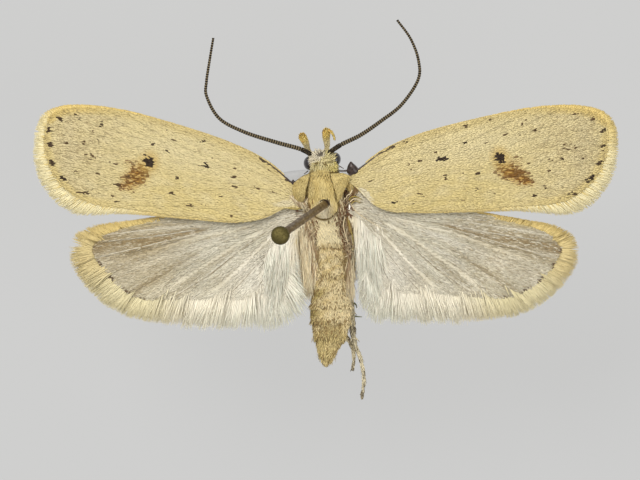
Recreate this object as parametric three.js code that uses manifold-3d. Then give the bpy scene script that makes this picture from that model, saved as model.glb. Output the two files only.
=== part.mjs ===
// A spread and pinned flat-bodied moth (Agonopterix), life size, on a short insect pin in a small oval foot.
// Units are millimetres. +X is the moth's right wing, +Y its head, +Z its back and the head of the pin.
// The origin is the middle of the foot's flat underside.
import * as THREE from 'three';
import { mergeVertices } from 'three/addons/utils/BufferGeometryUtils.js';
import Module from 'manifold-3d';

const wasm = await Module();
wasm.setup();

// Driving dimensions. The moth's own heights are counted from BODY_LEVEL, the height of its body's middle.
const BODY_LEVEL = 9;
// The gap between neighbours.
const GAP = 0.04;
const WING_THICKNESS = 0.5;
const FOREWING_MIDDLE = 0.45;
const HINDWING_MIDDLE = -0.1;
const WING_LIFT = Math.tan(THREE.MathUtils.degToRad(3));
const WING_CAMBER = 0.15;
const WING_ROOT = 1;
// The share of a wing over which it thins to its edge.
const WING_EDGE = 0.03;
const HALF_SPAN = 10.5;
const LEG_RADIUS = 0.25;
const FEELER_RADIUS = 0.25;
const PALP_RADIUS = 0.21;
const PIN_RADIUS = 0.14;
const PIN_ENTRY = [-0.03, 0.72, 0.75];
const PIN_LEAN = [-0.118, -0.09, 1];
// The pin's length above its entry.
const PIN_ABOVE = 12.2;
const PIN_HEAD_RADIUS = 0.31;
const PIN_HEAD_DEPTH = 0.46;
const FOOT_SIZE = [4.6, 2.15, 1.6];
const FOOT_BEVEL = 0.2;
const PIN_FOOT_LEVEL = 0.5;

// A tube's rings: the rounding at each end, as shares of its length and radius, and where its full body lies.
const END_RINGS = [{ along: 0, swell: 0.45 }, { along: 0.012, swell: 0.85 }];
const TUBE_BODY = [0.03, 0.97];
const FRAME_STEPS = 200;

// Each side's hinges, and how far forward its wings sweep, in degrees.
const SIDES = {
  left: {
    sign: -1,
    forewing: { hinge: [-0.993, 1.198], sweep: 15.66 },
    hindwing: { hinge: [-0.958, 0.401], sweep: -5.52, innerCorner: 0.12 },
  },
  right: {
    sign: 1,
    forewing: { hinge: [0.969, 1.687], sweep: 12 },
    hindwing: { hinge: [0.969, 0.718], sweep: -8, innerCorner: 0.85 },
  },
};

// Wing outlines to the tips of the fringe, from the hinge: along the wing, then forward.
const FOREWING_FRONT = [
  [-0.35, 0.1], [0.3, 0.32], [1.3, 0.78], [2.8, 1.07], [4.8, 1.17], [6.8, 1.15], [8.3, 0.92], [9.2, 0.56],
  [9.6, 0.15],
];
const FOREWING_REAR = [
  [-0.35, -0.25], [0.3, -0.55], [0.8, -1.19], [1.8, -1.67], [3.8, -2.08], [5.6, -2.43], [6.8, -2.81],
  [7.6, -2.95], [8.4, -2.66], [9.1, -2.02], [9.5, -1.23], [9.67, -0.4],
];
const HINDWING_FRONT = [
  [-0.3, 0.1], [0.8, 0.45], [2.8, 0.5], [5.0, 0.4], [6.8, 0.35], [7.5, 0.27], [8.03, 0.05], [8.31, -0.4],
];
// The hindwing's rear edge starts along the body, and innerCorner is how far out it turns away from it.
function hindwingRear(innerCorner) {
  return [
    [-0.3, -0.3], [0.1, -0.75], [0.5 * innerCorner + 0.05, -2.2], [innerCorner, -3.62], [1.5, -3.98],
    [2.5, -3.9], [4.0, -3.71], [5.5, -3.42], [6.6, -3.07], [7.37, -2.5], [7.99, -1.73], [8.35, -0.95],
  ];
}

// Stations of the rounded bodies, front to rear: [y, middle x, middle z, half width, half height].
const THORAX = [
  [1.92, -0.16, 0.02, 0, 0], [1.6, -0.15, -0.02, 0.58, 0.56], [1.15, -0.07, -0.1, 0.8, 0.8],
  [0.6, 0.0, -0.13, 0.84, 0.84], [0.15, 0.03, -0.18, 0.74, 0.72], [-0.12, 0.06, -0.2, 0, 0],
];
const METATHORAX = [
  [0.3, 0.08, -0.18, 0, 0], [0.05, 0.1, -0.18, 0.62, 0.56], [-0.35, 0.17, -0.17, 0.68, 0.54],
  [-0.75, 0.23, -0.16, 0.6, 0.46], [-0.92, 0.25, -0.16, 0, 0],
];
const ABDOMEN = [
  [-0.4, 0.26, -0.16, 0, 0], [-0.7, 0.27, -0.16, 0.68, 0.46], [-1.33, 0.23, -0.15, 0.69, 0.46],
  [-1.87, 0.23, -0.14, 0.66, 0.46], [-2.4, 0.21, -0.14, 0.72, 0.47], [-3.12, 0.19, -0.14, 0.78, 0.47],
  [-3.77, 0.19, -0.14, 0.7, 0.44], [-4.2, 0.16, -0.14, 0.57, 0.38], [-4.56, 0.09, -0.14, 0.37, 0.3],
  [-4.88, 0.07, -0.14, 0.24, 0.2], [-5.08, 0.05, -0.14, 0, 0],
];
const SEGMENT_LENGTH = 0.56;
const SEGMENT_STEP = 0.035;

const HEAD = [
  [2.71, -0.08, -0.06, 0, 0], [2.64, -0.08, -0.05, 0.34, 0.3], [2.45, -0.09, -0.03, 0.54, 0.46],
  [2.2, -0.1, -0.02, 0.58, 0.5], [2.0, -0.11, -0.02, 0.48, 0.44], [1.88, -0.12, -0.02, 0, 0],
];

// Ellipsoids: middle and half sizes.
const EYE_HALF = [0.22, 0.26, 0.3];
const EYES = { left: [-0.56, 2.23, -0.06], right: [0.36, 2.37, -0.06] };
const COLLAR = { middle: [-0.13, 1.92, 0.02], half: [0.56, 0.24, 0.52] };
const TEGULAE = {
  left: { middle: [-0.84, 1.35, 0.66], half: [0.28, 0.47, 0.3], turn: -8 },
  right: { middle: [0.52, 1.49, 0.66], half: [0.29, 0.44, 0.3], turn: 8 },
};
const HINGE_HALF = [0.16, 0.22, 0.2];
const HINGE_PLATES = { left: [-1.13, 1.62, 0.34], right: [0.93, 2.03, 0.32] };

// Centre lines, from the root to the tip: [x, y, z].
const FEELERS = {
  left: [
    [-0.35, 2.45, 0.3], [-0.9, 2.73, 0.4], [-1.8, 2.98, 0.46], [-2.91, 3.34, 0.52], [-3.79, 3.82, 0.58],
    [-4.24, 4.6, 0.64], [-4.25, 5.13, 0.68], [-4.13, 5.92, 0.74], [-4.0, 6.7, 0.8],
  ],
  right: [
    [0.05, 2.5, 0.3], [0.57, 2.88, 0.4], [1.28, 3.23, 0.45], [2.01, 3.73, 0.5], [2.74, 4.31, 0.56],
    [3.33, 5.19, 0.64], [3.35, 5.89, 0.69], [3.07, 6.66, 0.75], [2.58, 7.34, 0.8],
  ],
};
const PALPS = {
  left: [[-0.42, 2.4, -0.42], [-0.6, 2.7, -0.42], [-0.69, 2.94, -0.28], [-0.82, 3.2, -0.02]],
  right: [[-0.02, 2.42, -0.42], [0.07, 2.8, -0.4], [0.05, 3.12, -0.25], [0.04, 3.36, -0.02]],
};
const LEGS = {
  foreleg_left: [
    [-0.3, 1.55, -0.5], [-0.34, 1.5, -1.15], [-0.36, 1.95, -1.5], [-0.36, 2.42, -1.4], [-0.34, 2.6, -0.98],
  ],
  foreleg_right: [
    [0.12, 1.6, -0.5], [0.16, 1.55, -1.15], [0.18, 2.0, -1.5], [0.18, 2.47, -1.4], [0.14, 2.65, -0.98],
  ],
  midleg_left: [
    [-0.5, 0.85, -0.6], [-0.78, 1.2, -1.05], [-0.8, 1.1, -1.5], [-0.72, 0.4, -1.72], [-0.6, -0.6, -1.66],
    [-0.5, -1.6, -1.5],
  ],
  midleg_right: [
    [0.52, 0.85, -0.6], [0.82, 1.25, -1.05], [0.86, 1.15, -1.5], [0.8, 0.4, -1.72], [0.72, -0.6, -1.66],
    [0.66, -1.7, -1.5],
  ],
  hindleg_left: [
    [-0.3, 0.1, -0.6], [-0.4, -0.6, -0.98], [-0.3, -1.6, -1.0], [0.1, -2.9, -0.95], [0.62, -3.9, -0.9],
    [0.93, -4.5, -0.84], [1.0, -4.85, -0.8], [0.97, -5.2, -0.76],
  ],
  hindleg_right: [
    [0.42, 0.1, -0.6], [0.72, -0.6, -0.95], [0.9, -1.7, -0.9], [1.02, -3.0, -0.78], [1.22, -4.2, -0.66],
    [1.4, -4.85, -0.56], [1.45, -5.5, -0.52], [1.33, -6.24, -0.5],
  ],
};

// Moves each point of a closed geometry by place(point), joins its seams and turns its faces out.
function warp(geometry, place) {
  geometry.deleteAttribute('normal');
  geometry.deleteAttribute('uv');
  const merged = mergeVertices(geometry);
  const points = merged.attributes.position;
  const point = new THREE.Vector3();
  for (let i = 0; i < points.count; i += 1) {
    point.fromBufferAttribute(points, i);
    place(point);
    points.setXYZ(i, point.x, point.y, point.z);
  }
  if (volume(merged) < 0) {
    merged.index.array.reverse();
  }
  return merged;
}

function volume(geometry) {
  const [a, b, c] = [new THREE.Vector3(), new THREE.Vector3(), new THREE.Vector3()];
  const { position } = geometry.attributes;
  let total = 0;
  for (let i = 0; i < geometry.index.count; i += 3) {
    a.fromBufferAttribute(position, geometry.index.getX(i));
    b.fromBufferAttribute(position, geometry.index.getX(i + 1));
    c.fromBufferAttribute(position, geometry.index.getX(i + 2));
    total += a.dot(b.cross(c)) / 6;
  }
  return total;
}

function solid(geometry) {
  const mesh = new wasm.Mesh({
    numProp: 3,
    vertProperties: new Float32Array(geometry.attributes.position.array),
    triVerts: new Uint32Array(geometry.index.array),
  });
  return new wasm.Manifold(mesh);
}

// Cuts the cutters out of a geometry, and keeps the largest piece that is left.
function carve(geometry, ...cutters) {
  const left = cutters.reduce((rest, cutter) => rest.subtract(solid(cutter)), solid(geometry));
  const largest = left.decompose().sort((a, b) => b.volume() - a.volume())[0];
  const mesh = largest.getMesh();
  const carved = new THREE.BufferGeometry();
  carved.setAttribute('position', new THREE.BufferAttribute(new Float32Array(mesh.vertProperties), 3));
  carved.setIndex(new THREE.BufferAttribute(new Uint32Array(mesh.triVerts), 1));
  return carved;
}

// An ellipsoid, its turn in degrees about the upright. grow makes it larger all round.
function ellipsoid({ middle, half, turn = 0 }, grow = 0, sides = 16, rings = 10) {
  const size = new THREE.Vector3(...half).addScalar(grow);
  return warp(new THREE.SphereGeometry(1, sides, rings), (point) => {
    point.multiply(size);
    point.applyAxisAngle(new THREE.Vector3(0, 0, 1), THREE.MathUtils.degToRad(turn));
    point.add(new THREE.Vector3(...middle));
  });
}

// A smooth curve through points of two or three numbers.
function through(points) {
  const places = points.map(([x, y, z = 0]) => new THREE.Vector3(x, y, z));
  return new THREE.CatmullRomCurve3(places, false, 'catmullrom', 0.5);
}

// A body lofted through its stations. Half sizes are blended as squares, which rounds both of its ends.
function loft(stations, grow = 0, sides = 16, rings = 14, swellAt = () => 1) {
  const line = through(stations.map(([y, x, z]) => [x, y, z]));
  const squares = through(stations.map(([, , , width, height]) => [width ** 2, height ** 2]));
  return warp(new THREE.SphereGeometry(1, sides, rings), (point) => {
    const along = Math.acos(THREE.MathUtils.clamp(point.y, -1, 1)) / Math.PI;
    const pole = Math.abs(point.y) > 0.9999;
    const centre = line.getPoint(along);
    const size = squares.getPoint(along);
    const turn = Math.atan2(point.z, point.x);
    const width = pole ? 0 : Math.sqrt(Math.max(size.x, 0)) * swellAt(centre.y) + grow;
    const height = pole ? 0 : Math.sqrt(Math.max(size.y, 0)) * swellAt(centre.y) + grow;
    const push = pole ? Math.sign(point.y) * grow : 0;
    point.set(centre.x + width * Math.cos(turn), centre.y + push, centre.z + height * Math.sin(turn));
  });
}

// A closed tube along a curve through points, with rounded ends. radiusAt gives its radius from root to tip.
function tube(points, radiusAt, steps, sides) {
  const curve = through(points);
  const rings = steps + 2 * END_RINGS.length;
  const frames = curve.computeFrenetFrames(FRAME_STEPS, false);
  return warp(new THREE.CylinderGeometry(1, 1, 1, sides, rings), (point) => {
    const ring = Math.round((point.y + 0.5) * rings);
    const end = END_RINGS[Math.min(ring, rings - ring)];
    const body = THREE.MathUtils.lerp(TUBE_BODY[0], TUBE_BODY[1], (ring - END_RINGS.length) / steps);
    const endAlong = ring < rings / 2 ? end?.along : 1 - end?.along;
    const along = end ? endAlong : body;
    const radius = radiusAt(along) * (end ? end.swell : 1);
    const frame = Math.round(along * FRAME_STEPS);
    const across = frames.normals[frame].clone().multiplyScalar(point.x * radius);
    const up = frames.binormals[frame].clone().multiplyScalar(point.z * radius);
    point.copy(curve.getPointAt(along)).add(across).add(up);
  });
}

// How far the wings rise, the same for both pairs, so that they stay apart.
function wingLift(x) {
  const out = Math.max(Math.abs(x) - WING_ROOT, 0);
  return out * WING_LIFT + WING_CAMBER * Math.sin((Math.PI * out) / (HALF_SPAN - WING_ROOT));
}

// A wing between its front and rear edges, thinned to an edge all round, then turned about its hinge.
function wing({ front, rear, middle, columns, rows }, { hinge, sweep }, sign, grow = 0) {
  const frontEdge = through(front);
  const rearEdge = through(rear);
  const angle = THREE.MathUtils.degToRad(sweep);
  return warp(new THREE.BoxGeometry(1, 1, 1, columns, rows, 2), (point) => {
    const side = Math.round(point.z * 2);
    const inset = side === 0 ? 0 : WING_EDGE;
    const along = (point.x + 0.5) * (1 - inset / 2);
    const across = THREE.MathUtils.lerp(inset, 1 - inset, point.y + 0.5);
    const at = rearEdge.getPointAt(along).lerp(frontEdge.getPointAt(along), across);
    const x = hinge[0] + sign * (at.x * Math.cos(angle) - at.y * Math.sin(angle));
    const y = hinge[1] + at.x * Math.sin(angle) + at.y * Math.cos(angle);
    point.set(x, y, middle + side * (WING_THICKNESS / 2 + grow) + wingLift(x));
  });
}

// Each ring of the abdomen widens to its rear edge.
function abdomenSwell(y) {
  const rings = (ABDOMEN[0][0] - y) / SEGMENT_LENGTH;
  return 1 + SEGMENT_STEP * (rings - Math.floor(rings) - 0.5);
}

// The pin's line runs through its entry in the back, leaning left and to the rear at the top.
const lean = new THREE.Vector3(...PIN_LEAN).normalize();
const entry = new THREE.Vector3(...PIN_ENTRY);
const pinTurn = new THREE.Quaternion().setFromUnitVectors(new THREE.Vector3(0, 1, 0), lean);
const pinBelow = (BODY_LEVEL + entry.z - PIN_FOOT_LEVEL) / lean.z;

// Puts a geometry made about the Y axis on the pin's line, with its middle so far above the entry.
function onPin(geometry, above) {
  return warp(geometry, (point) => {
    point.y += above;
    point.applyQuaternion(pinTurn);
    point.add(entry);
  });
}

// The pin's shaft, or with grow the room that it needs, which reaches a little deeper.
function pinRod(grow = 0) {
  const radius = PIN_RADIUS + grow;
  const rod = new THREE.CylinderGeometry(radius, radius, PIN_ABOVE + pinBelow + grow, 12);
  return onPin(rod, (PIN_ABOVE - pinBelow - grow) / 2);
}

const model = new THREE.Group();
const moth = new THREE.Group();
moth.position.z = BODY_LEVEL;
model.add(moth);

const FINISHES = {
  scales: { color: 0xc2ac6e, roughness: 0.8 },
  forewing: { color: 0xd6c691, roughness: 0.75 },
  hindwing: { color: 0xd0c6ac, roughness: 0.6 },
  abdomen: { color: 0xc0ae85, roughness: 0.8 },
  leg: { color: 0xcfc2a0, roughness: 0.75 },
  feeler: { color: 0x6b5d4a, roughness: 0.6 },
  horn: { color: 0x3a2a1a, roughness: 0.35 },
  eye: { color: 0x443c35, roughness: 0.25 },
  steel: { color: 0x9a9a96, roughness: 0.35, metalness: 1 },
  brass: { color: 0x8a7a45, roughness: 0.4, metalness: 1 },
  foot: { color: 0xcdcecf, roughness: 0.6 },
};

function add(name, geometry, finish, group = moth) {
  const mesh = new THREE.Mesh(geometry, new THREE.MeshStandardMaterial(FINISHES[finish]));
  mesh.name = name;
  group.add(mesh);
}

// addHead and addBody return the room that their pieces need, grown by the gap, for what meets them.
function addHead() {
  const eye = (side, grow) => ellipsoid({ middle: EYES[side], half: EYE_HALF }, grow, 12, 8);
  const sockets = Object.keys(SIDES).map((side) => eye(side, GAP));
  const room = [loft(HEAD, GAP, 18, 12), ...sockets];
  add('head', carve(loft(HEAD, 0, 18, 12), ...sockets), 'scales');
  for (const side of Object.keys(SIDES)) {
    add(`eye_${side}`, eye(side, 0), 'eye');
    const feeler = tube(FEELERS[side], (along) => FEELER_RADIUS * (1.06 - 0.1 * along), 21, 7);
    add(`antenna_${side}`, carve(feeler, ...room), 'feeler');
    const palp = tube(PALPS[side], (along) => PALP_RADIUS * (1 + 0.12 * Math.sin(Math.PI * along)), 6, 7);
    add(`palp_${side}`, carve(palp, ...room), 'scales');
  }
  return room;
}

function addBody(headRoom) {
  const collarRoom = ellipsoid(COLLAR, GAP, 16, 8);
  const thoraxRoom = loft(THORAX, GAP);
  const waistRoom = loft(METATHORAX, GAP, 16, 10);
  const abdomenRoom = loft(ABDOMEN, 1.5 * GAP, 16, 16);
  add('collar', carve(ellipsoid(COLLAR, 0, 16, 8), ...headRoom), 'scales');
  add('thorax', carve(loft(THORAX), collarRoom, pinRod(GAP)), 'scales');
  add('metathorax', carve(loft(METATHORAX, 0, 16, 10), thoraxRoom), 'scales');
  add('abdomen', carve(loft(ABDOMEN, 0, 16, 20, abdomenSwell), waistRoom), 'abdomen');
  return [...headRoom, collarRoom, thoraxRoom, waistRoom, abdomenRoom];
}

function addWings(bodyRoom) {
  const fore = { front: FOREWING_FRONT, rear: FOREWING_REAR, middle: FOREWING_MIDDLE, columns: 18, rows: 5 };
  for (const [side, { sign, forewing, hindwing }] of Object.entries(SIDES)) {
    const rear = hindwingRear(hindwing.innerCorner);
    const hind = { front: HINDWING_FRONT, rear, middle: HINDWING_MIDDLE, columns: 16, rows: 5 };
    add(`forewing_${side}`, carve(wing(fore, forewing, sign), ...bodyRoom), 'forewing');
    add(`hindwing_${side}`, carve(wing(hind, hindwing, sign), ...bodyRoom), 'hindwing');
    const wingRoom = wing(fore, forewing, sign, GAP);
    const plate = { middle: HINGE_PLATES[side], half: HINGE_HALF };
    add(`wing_hinge_${side}`, carve(ellipsoid(plate, 0, 10, 8), ...bodyRoom, wingRoom), 'horn');
    const tegulaCuts = [...bodyRoom, wingRoom, ellipsoid(plate, GAP, 10, 8), pinRod(GAP)];
    add(`tegula_${side}`, carve(ellipsoid(TEGULAE[side], 0, 14, 8), ...tegulaCuts), 'scales');
  }
}

function addLegs(bodyRoom) {
  for (const [name, points] of Object.entries(LEGS)) {
    add(name, carve(tube(points, (along) => LEG_RADIUS * (1 - 0.08 * along), 12, 6), ...bodyRoom), 'leg');
  }
}

// A flattened ball on the pin's upper end.
function pinKnob() {
  const half = PIN_HEAD_DEPTH / 2;
  const profile = [[0, -1], [0.55, -1], [0.9, -0.45], [1, 0], [0.9, 0.45], [0.6, 1], [0, 1]];
  const outline = profile.map(([r, level]) => new THREE.Vector2(r * PIN_HEAD_RADIUS, level * half));
  return onPin(new THREE.LatheGeometry(outline, 12), PIN_ABOVE + GAP + half);
}

// The oval foot, bevelled round its upper edge, with a hole for the pin.
function footPlate() {
  const [halfWidth, halfDepth, height] = FOOT_SIZE;
  const inner = 1 - FOOT_BEVEL / halfDepth;
  const profile = [[0, 0], [1, 0], [1, height - FOOT_BEVEL], [inner, height], [0, height]];
  const outline = profile.map(([radius, level]) => new THREE.Vector2(radius, level));
  const plate = warp(new THREE.LatheGeometry(outline, 36), (point) => {
    point.set(point.x * halfWidth, point.z * halfDepth, point.y);
  });
  return carve(plate, pinRod(GAP).translate(0, 0, BODY_LEVEL));
}

const headRoom = addHead();
const bodyRoom = addBody(headRoom);
addWings(bodyRoom);
addLegs(bodyRoom);
add('pin_shaft', pinRod(), 'steel');
add('pin_head', pinKnob(), 'brass');
add('stand_base', footPlate(), 'foot', model);

export default model;
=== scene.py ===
"""The looks of a spread and pinned flat-bodied moth (Agonopterix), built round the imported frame.

Sizes are millimetres in the moth's own space: +X is its right wing, +Y its head, +Z its back, and the
origin is the middle of its body. new_piece() sets each piece on the frame, in metres. Wings are drawn
in wing space: x runs out from the hinge and y runs forward.
"""
import math

import bpy
import numpy as np
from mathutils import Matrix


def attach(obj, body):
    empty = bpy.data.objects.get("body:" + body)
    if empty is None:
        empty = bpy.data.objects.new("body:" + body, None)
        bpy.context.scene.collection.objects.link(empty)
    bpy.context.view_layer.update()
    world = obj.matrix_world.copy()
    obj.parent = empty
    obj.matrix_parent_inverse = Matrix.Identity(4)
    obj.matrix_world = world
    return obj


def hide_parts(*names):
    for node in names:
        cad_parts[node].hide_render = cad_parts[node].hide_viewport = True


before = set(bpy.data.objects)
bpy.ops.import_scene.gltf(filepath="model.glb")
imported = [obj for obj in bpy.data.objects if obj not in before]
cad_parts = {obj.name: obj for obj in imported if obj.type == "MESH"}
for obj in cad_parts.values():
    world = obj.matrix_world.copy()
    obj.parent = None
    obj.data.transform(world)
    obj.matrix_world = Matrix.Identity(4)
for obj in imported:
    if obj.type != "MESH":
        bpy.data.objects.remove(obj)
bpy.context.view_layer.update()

# Driving dimensions, as in the CAD.
MM = 0.001
FULL_TURN = 2 * math.pi
BODY_LEVEL = 9.0
WING_LIFT = math.tan(math.radians(3))
WING_CAMBER = 0.15
WING_ROOT = 1.0
HALF_SPAN = 10.5
PIN_ENTRY = (-0.03, 0.72, 0.75)
PIN_LEAN = (-0.118, -0.09, 1.0)
PIN_ABOVE = 12.2
PIN_RADIUS = 0.14
PIN_HEAD_RADIUS = 0.31
PIN_HEAD_DEPTH = 0.46
PIN_FOOT_LEVEL = 0.5
FOOT_SIZE = (4.6, 2.15, 1.6)
FOOT_BEVEL = 0.2
SEGMENT_LENGTH = 0.56
SEGMENT_STEP = 0.05

# The membranes lie inside the wings' solids, the forewing just over the hindwing.
FOREWING_LEVEL = 0.33
HINDWING_LEVEL = 0.08
MEMBRANE = 0.03
# The skin under the coats is a little darker than they are.
MEMBRANE_SHADE = 0.94
SKIN_SHADE = 0.88
# The grain of the skin's mesh.
SKIN_VOXEL = 0.032
# The size of one blade's patch on its map, and the border that a map keeps clear.
PATCH = 0.003
MAP_MARGIN = 0.02

# Rows of scales on a wing's upper side, and on both undersides: the gap from row to row, the gap within a
# row, and a scale's length and half width.
WING_SCALES = {
    "forewing": (0.07, 0.043, 0.19, 0.034),
    "hindwing": (0.064, 0.038, 0.24, 0.024),
    "under": (0.135, 0.09, 0.25, 0.052),
}
# How many hairs or scales there are in the coats that aren't laid in rows.
FRINGE_COUNTS = {"forewing": 6200, "hindwing": 9100}
INNER_HAIRS = 2600
FACE_SCALES = 420
BROW_SCALES = 260
BORDER_HAIRS = 420
PAD_SCALES = 300
PALP_SCALES = 900
PALP_TIP_SCALES = 260
LEG_SCALES_PER_MM = 190

SIDES = {
    "left": {
        "sign": -1,
        "forewing": {"hinge": (-0.993, 1.198), "sweep": 15.66},
        "hindwing": {"hinge": (-0.958, 0.401), "sweep": -5.52},
        "inner_corner": 0.12,
    },
    "right": {
        "sign": 1,
        "forewing": {"hinge": (0.969, 1.687), "sweep": 12.0},
        "hindwing": {"hinge": (0.969, 0.718), "sweep": -8.0},
        "inner_corner": 0.85,
    },
}

rng = np.random.default_rng(9338)


# ---------------------------------------------------------------- numbers

def unit(vectors):
    """The vectors, each at a length of one."""
    return vectors / np.maximum(np.linalg.norm(vectors, axis=-1, keepdims=True), 1e-9)


def smooth(low, high, value):
    """0 at low and 1 at high, with a soft rise between them. low may be the larger of the two."""
    share = np.clip((value - low) / (high - low), 0, 1)
    return share * share * (3 - 2 * share)


def bump(value, middle, width):
    """1 at the middle, with a soft fall to both sides."""
    return np.exp(-(((value - middle) / width) ** 2))


def linear(*colour):
    """A linear colour from sRGB numbers of 0 to 255."""
    share = np.array(colour, float) / 255
    return np.where(share <= 0.04045, share / 12.92, ((share + 0.055) / 1.055) ** 2.4)


def blend(first, second, share):
    """Between two colours or directions, by the second one's share."""
    share = np.clip(np.asarray(share, float), 0, 1)[..., None]
    return first + (second - first) * share


def layered(colour, *layers):
    """A colour with others laid over it in turn, each given as a colour and its share."""
    for tone, share in layers:
        colour = blend(colour, tone, share)
    return colour


def even(colour, count):
    """The same colour or direction, count times."""
    return np.tile(colour, (count, 1))


def laid(ways, up):
    """Directions laid flat on the skin whose normals are given."""
    return unit(ways - up * (ways * up).sum(1, keepdims=True))


def on_map(share):
    """A share from 0 to 1, clear of the map's border."""
    return MAP_MARGIN + (1 - 2 * MAP_MARGIN) * share


def mottle(x, y, size, seed):
    """Soft uneven noise of about -1 to 1, with blotches of about the given size."""
    waves = np.random.default_rng(seed)
    total = np.zeros(np.shape(x))
    for _ in range(9):
        angle, phase = waves.uniform(0, FULL_TURN, 2)
        rate = waves.uniform(2.2, 5.5) / size
        total += np.sin(rate * (x * math.cos(angle) + y * math.sin(angle)) + phase)
    return total / 4


class Curve:
    """A smooth curve through points, as the CAD draws it, measured from 0 to 1 along its length."""

    def __init__(self, points, steps=24):
        points = np.asarray(points, float)
        ends = np.vstack([2 * points[0] - points[1], points, 2 * points[-1] - points[-2]])
        t = np.linspace(0, 1, steps, endpoint=False)[:, None]
        spans = []
        for a, b, c, d in zip(ends, ends[1:], ends[2:], ends[3:]):
            cubic = 3 * b - a - 3 * c + d
            spans.append(b + 0.5 * t * (c - a + t * (2 * a - 5 * b + 4 * c - d + t * cubic)))
        self.points = np.vstack([*spans, points[-1:]])
        lengths = np.linalg.norm(np.diff(self.points, axis=0), axis=1)
        self.length = lengths.sum()
        self.share = np.concatenate([[0], np.cumsum(lengths)]) / self.length

    def at(self, share):
        """Points at shares of the curve's length."""
        return np.stack([np.interp(share, self.share, c) for c in self.points.T], axis=-1)

    def heading(self, share):
        """The curve's direction at shares of its length."""
        share = np.asarray(share, float)
        return unit(self.at(np.minimum(share + 0.01, 1)) - self.at(np.maximum(share - 0.01, 0)))


def nearest(x, y, line):
    """How far flat points are from a line, and how far along it the nearest place is, from 0 to 1."""
    start, step = line[:-1], np.diff(line, axis=0)
    dx = x[:, None] - start[:, 0]
    dy = y[:, None] - start[:, 1]
    share = np.clip((dx * step[:, 0] + dy * step[:, 1]) / (step ** 2).sum(1), 0, 1)
    gaps = np.hypot(dx - share * step[:, 0], dy - share * step[:, 1])
    best = gaps.argmin(1)
    rows = np.arange(len(best))
    return gaps[rows, best], (best + share[rows, best]) / len(step)


def inside(x, y, outline):
    """Which flat points lie inside a closed outline."""
    x1, y1 = outline.T
    x2, y2 = np.roll(outline, -1, axis=0).T
    crosses = (y1 > y[:, None]) != (y2 > y[:, None])
    rise = np.where(y2 == y1, 1e-12, y2 - y1)
    left_of = x[:, None] < (x2 - x1) * (y[:, None] - y1) / rise + x1
    return (crosses & left_of).sum(1) % 2 == 1


def reach(roots, ways, outline):
    """How far each root is from a closed outline, going its way, or 0 where it doesn't meet it."""
    step = np.roll(outline, -1, axis=0) - outline
    cross = ways[:, 0, None] * step[:, 1] - ways[:, 1, None] * step[:, 0]
    cross = np.where(np.abs(cross) < 1e-12, 1e-12, cross)
    gap = outline[None] - roots[:, None]
    far = (gap[..., 0] * step[:, 1] - gap[..., 1] * step[:, 0]) / cross
    share = (gap[..., 0] * ways[:, 1, None] - gap[..., 1] * ways[:, 0, None]) / cross
    far = np.where((share >= 0) & (share <= 1) & (far > 0), far, np.inf).min(1)
    return np.where(np.isfinite(far), far, 0)


# ---------------------------------------------------------------- meshes

def grid_faces(rows, columns, wrap=False):
    """Triangles of a grid of points. wrap joins its last column to its first."""
    row, column = np.mgrid[0:rows - 1, 0:columns if wrap else columns - 1]
    a = row * columns + column
    b = row * columns + (column + 1) % columns
    first = np.stack([a, b, b + columns], -1).reshape(-1, 3)
    second = np.stack([a, b + columns, a + columns], -1).reshape(-1, 3)
    return np.vstack([first, second])


def capped_faces(rows, sides):
    """Triangles of a closed form: rings of points, and behind them one point for each end."""
    around = np.arange(sides)
    ahead = (around + 1) % sides
    last = (rows - 1) * sides
    return np.vstack([
        grid_faces(rows, sides, wrap=True)[:, ::-1],
        np.stack([around, ahead, np.full(sides, rows * sides)], -1),
        np.stack([last + ahead, last + around, np.full(sides, rows * sides + 1)], -1),
    ])


def join(parts):
    """One part from several, each of points, faces, colours, and map places or None."""
    starts = np.cumsum([0] + [len(part[0]) for part in parts[:-1]])
    faces = np.vstack([part[1] + start for part, start in zip(parts, starts)])
    places = None if parts[0][3] is None else np.vstack([part[3] for part in parts])
    return np.vstack([part[0] for part in parts]), faces, np.vstack([part[2] for part in parts]), places


def outward(part):
    """The part with its faces turned out."""
    points, faces, colours, places = part
    a, b, c = points[faces[:, 0]], points[faces[:, 1]], points[faces[:, 2]]
    middle = points.mean(0)
    size = (np.cross(b - a, c - a) * (a - middle)).sum()
    return (points, faces[:, ::-1] if size < 0 else faces, colours, places)


def plate(top, bottom, rows, columns, tint):
    """A thin closed plate between two grids of points."""
    flat = grid_faces(rows, columns)
    count = rows * columns
    number = np.arange(count).reshape(rows, columns)
    loop = np.concatenate([number[0], number[1:, -1], number[-1, -2::-1], number[-2:0:-1, 0]])
    ahead = np.roll(loop, -1)
    faces = np.vstack([
        flat[:, ::-1],
        flat + count,
        np.stack([ahead + count, loop + count, loop], -1),
        np.stack([ahead, ahead + count, loop], -1),
    ])
    return outward((np.vstack([top, bottom]), faces, np.vstack([tint, tint]), None))


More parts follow.
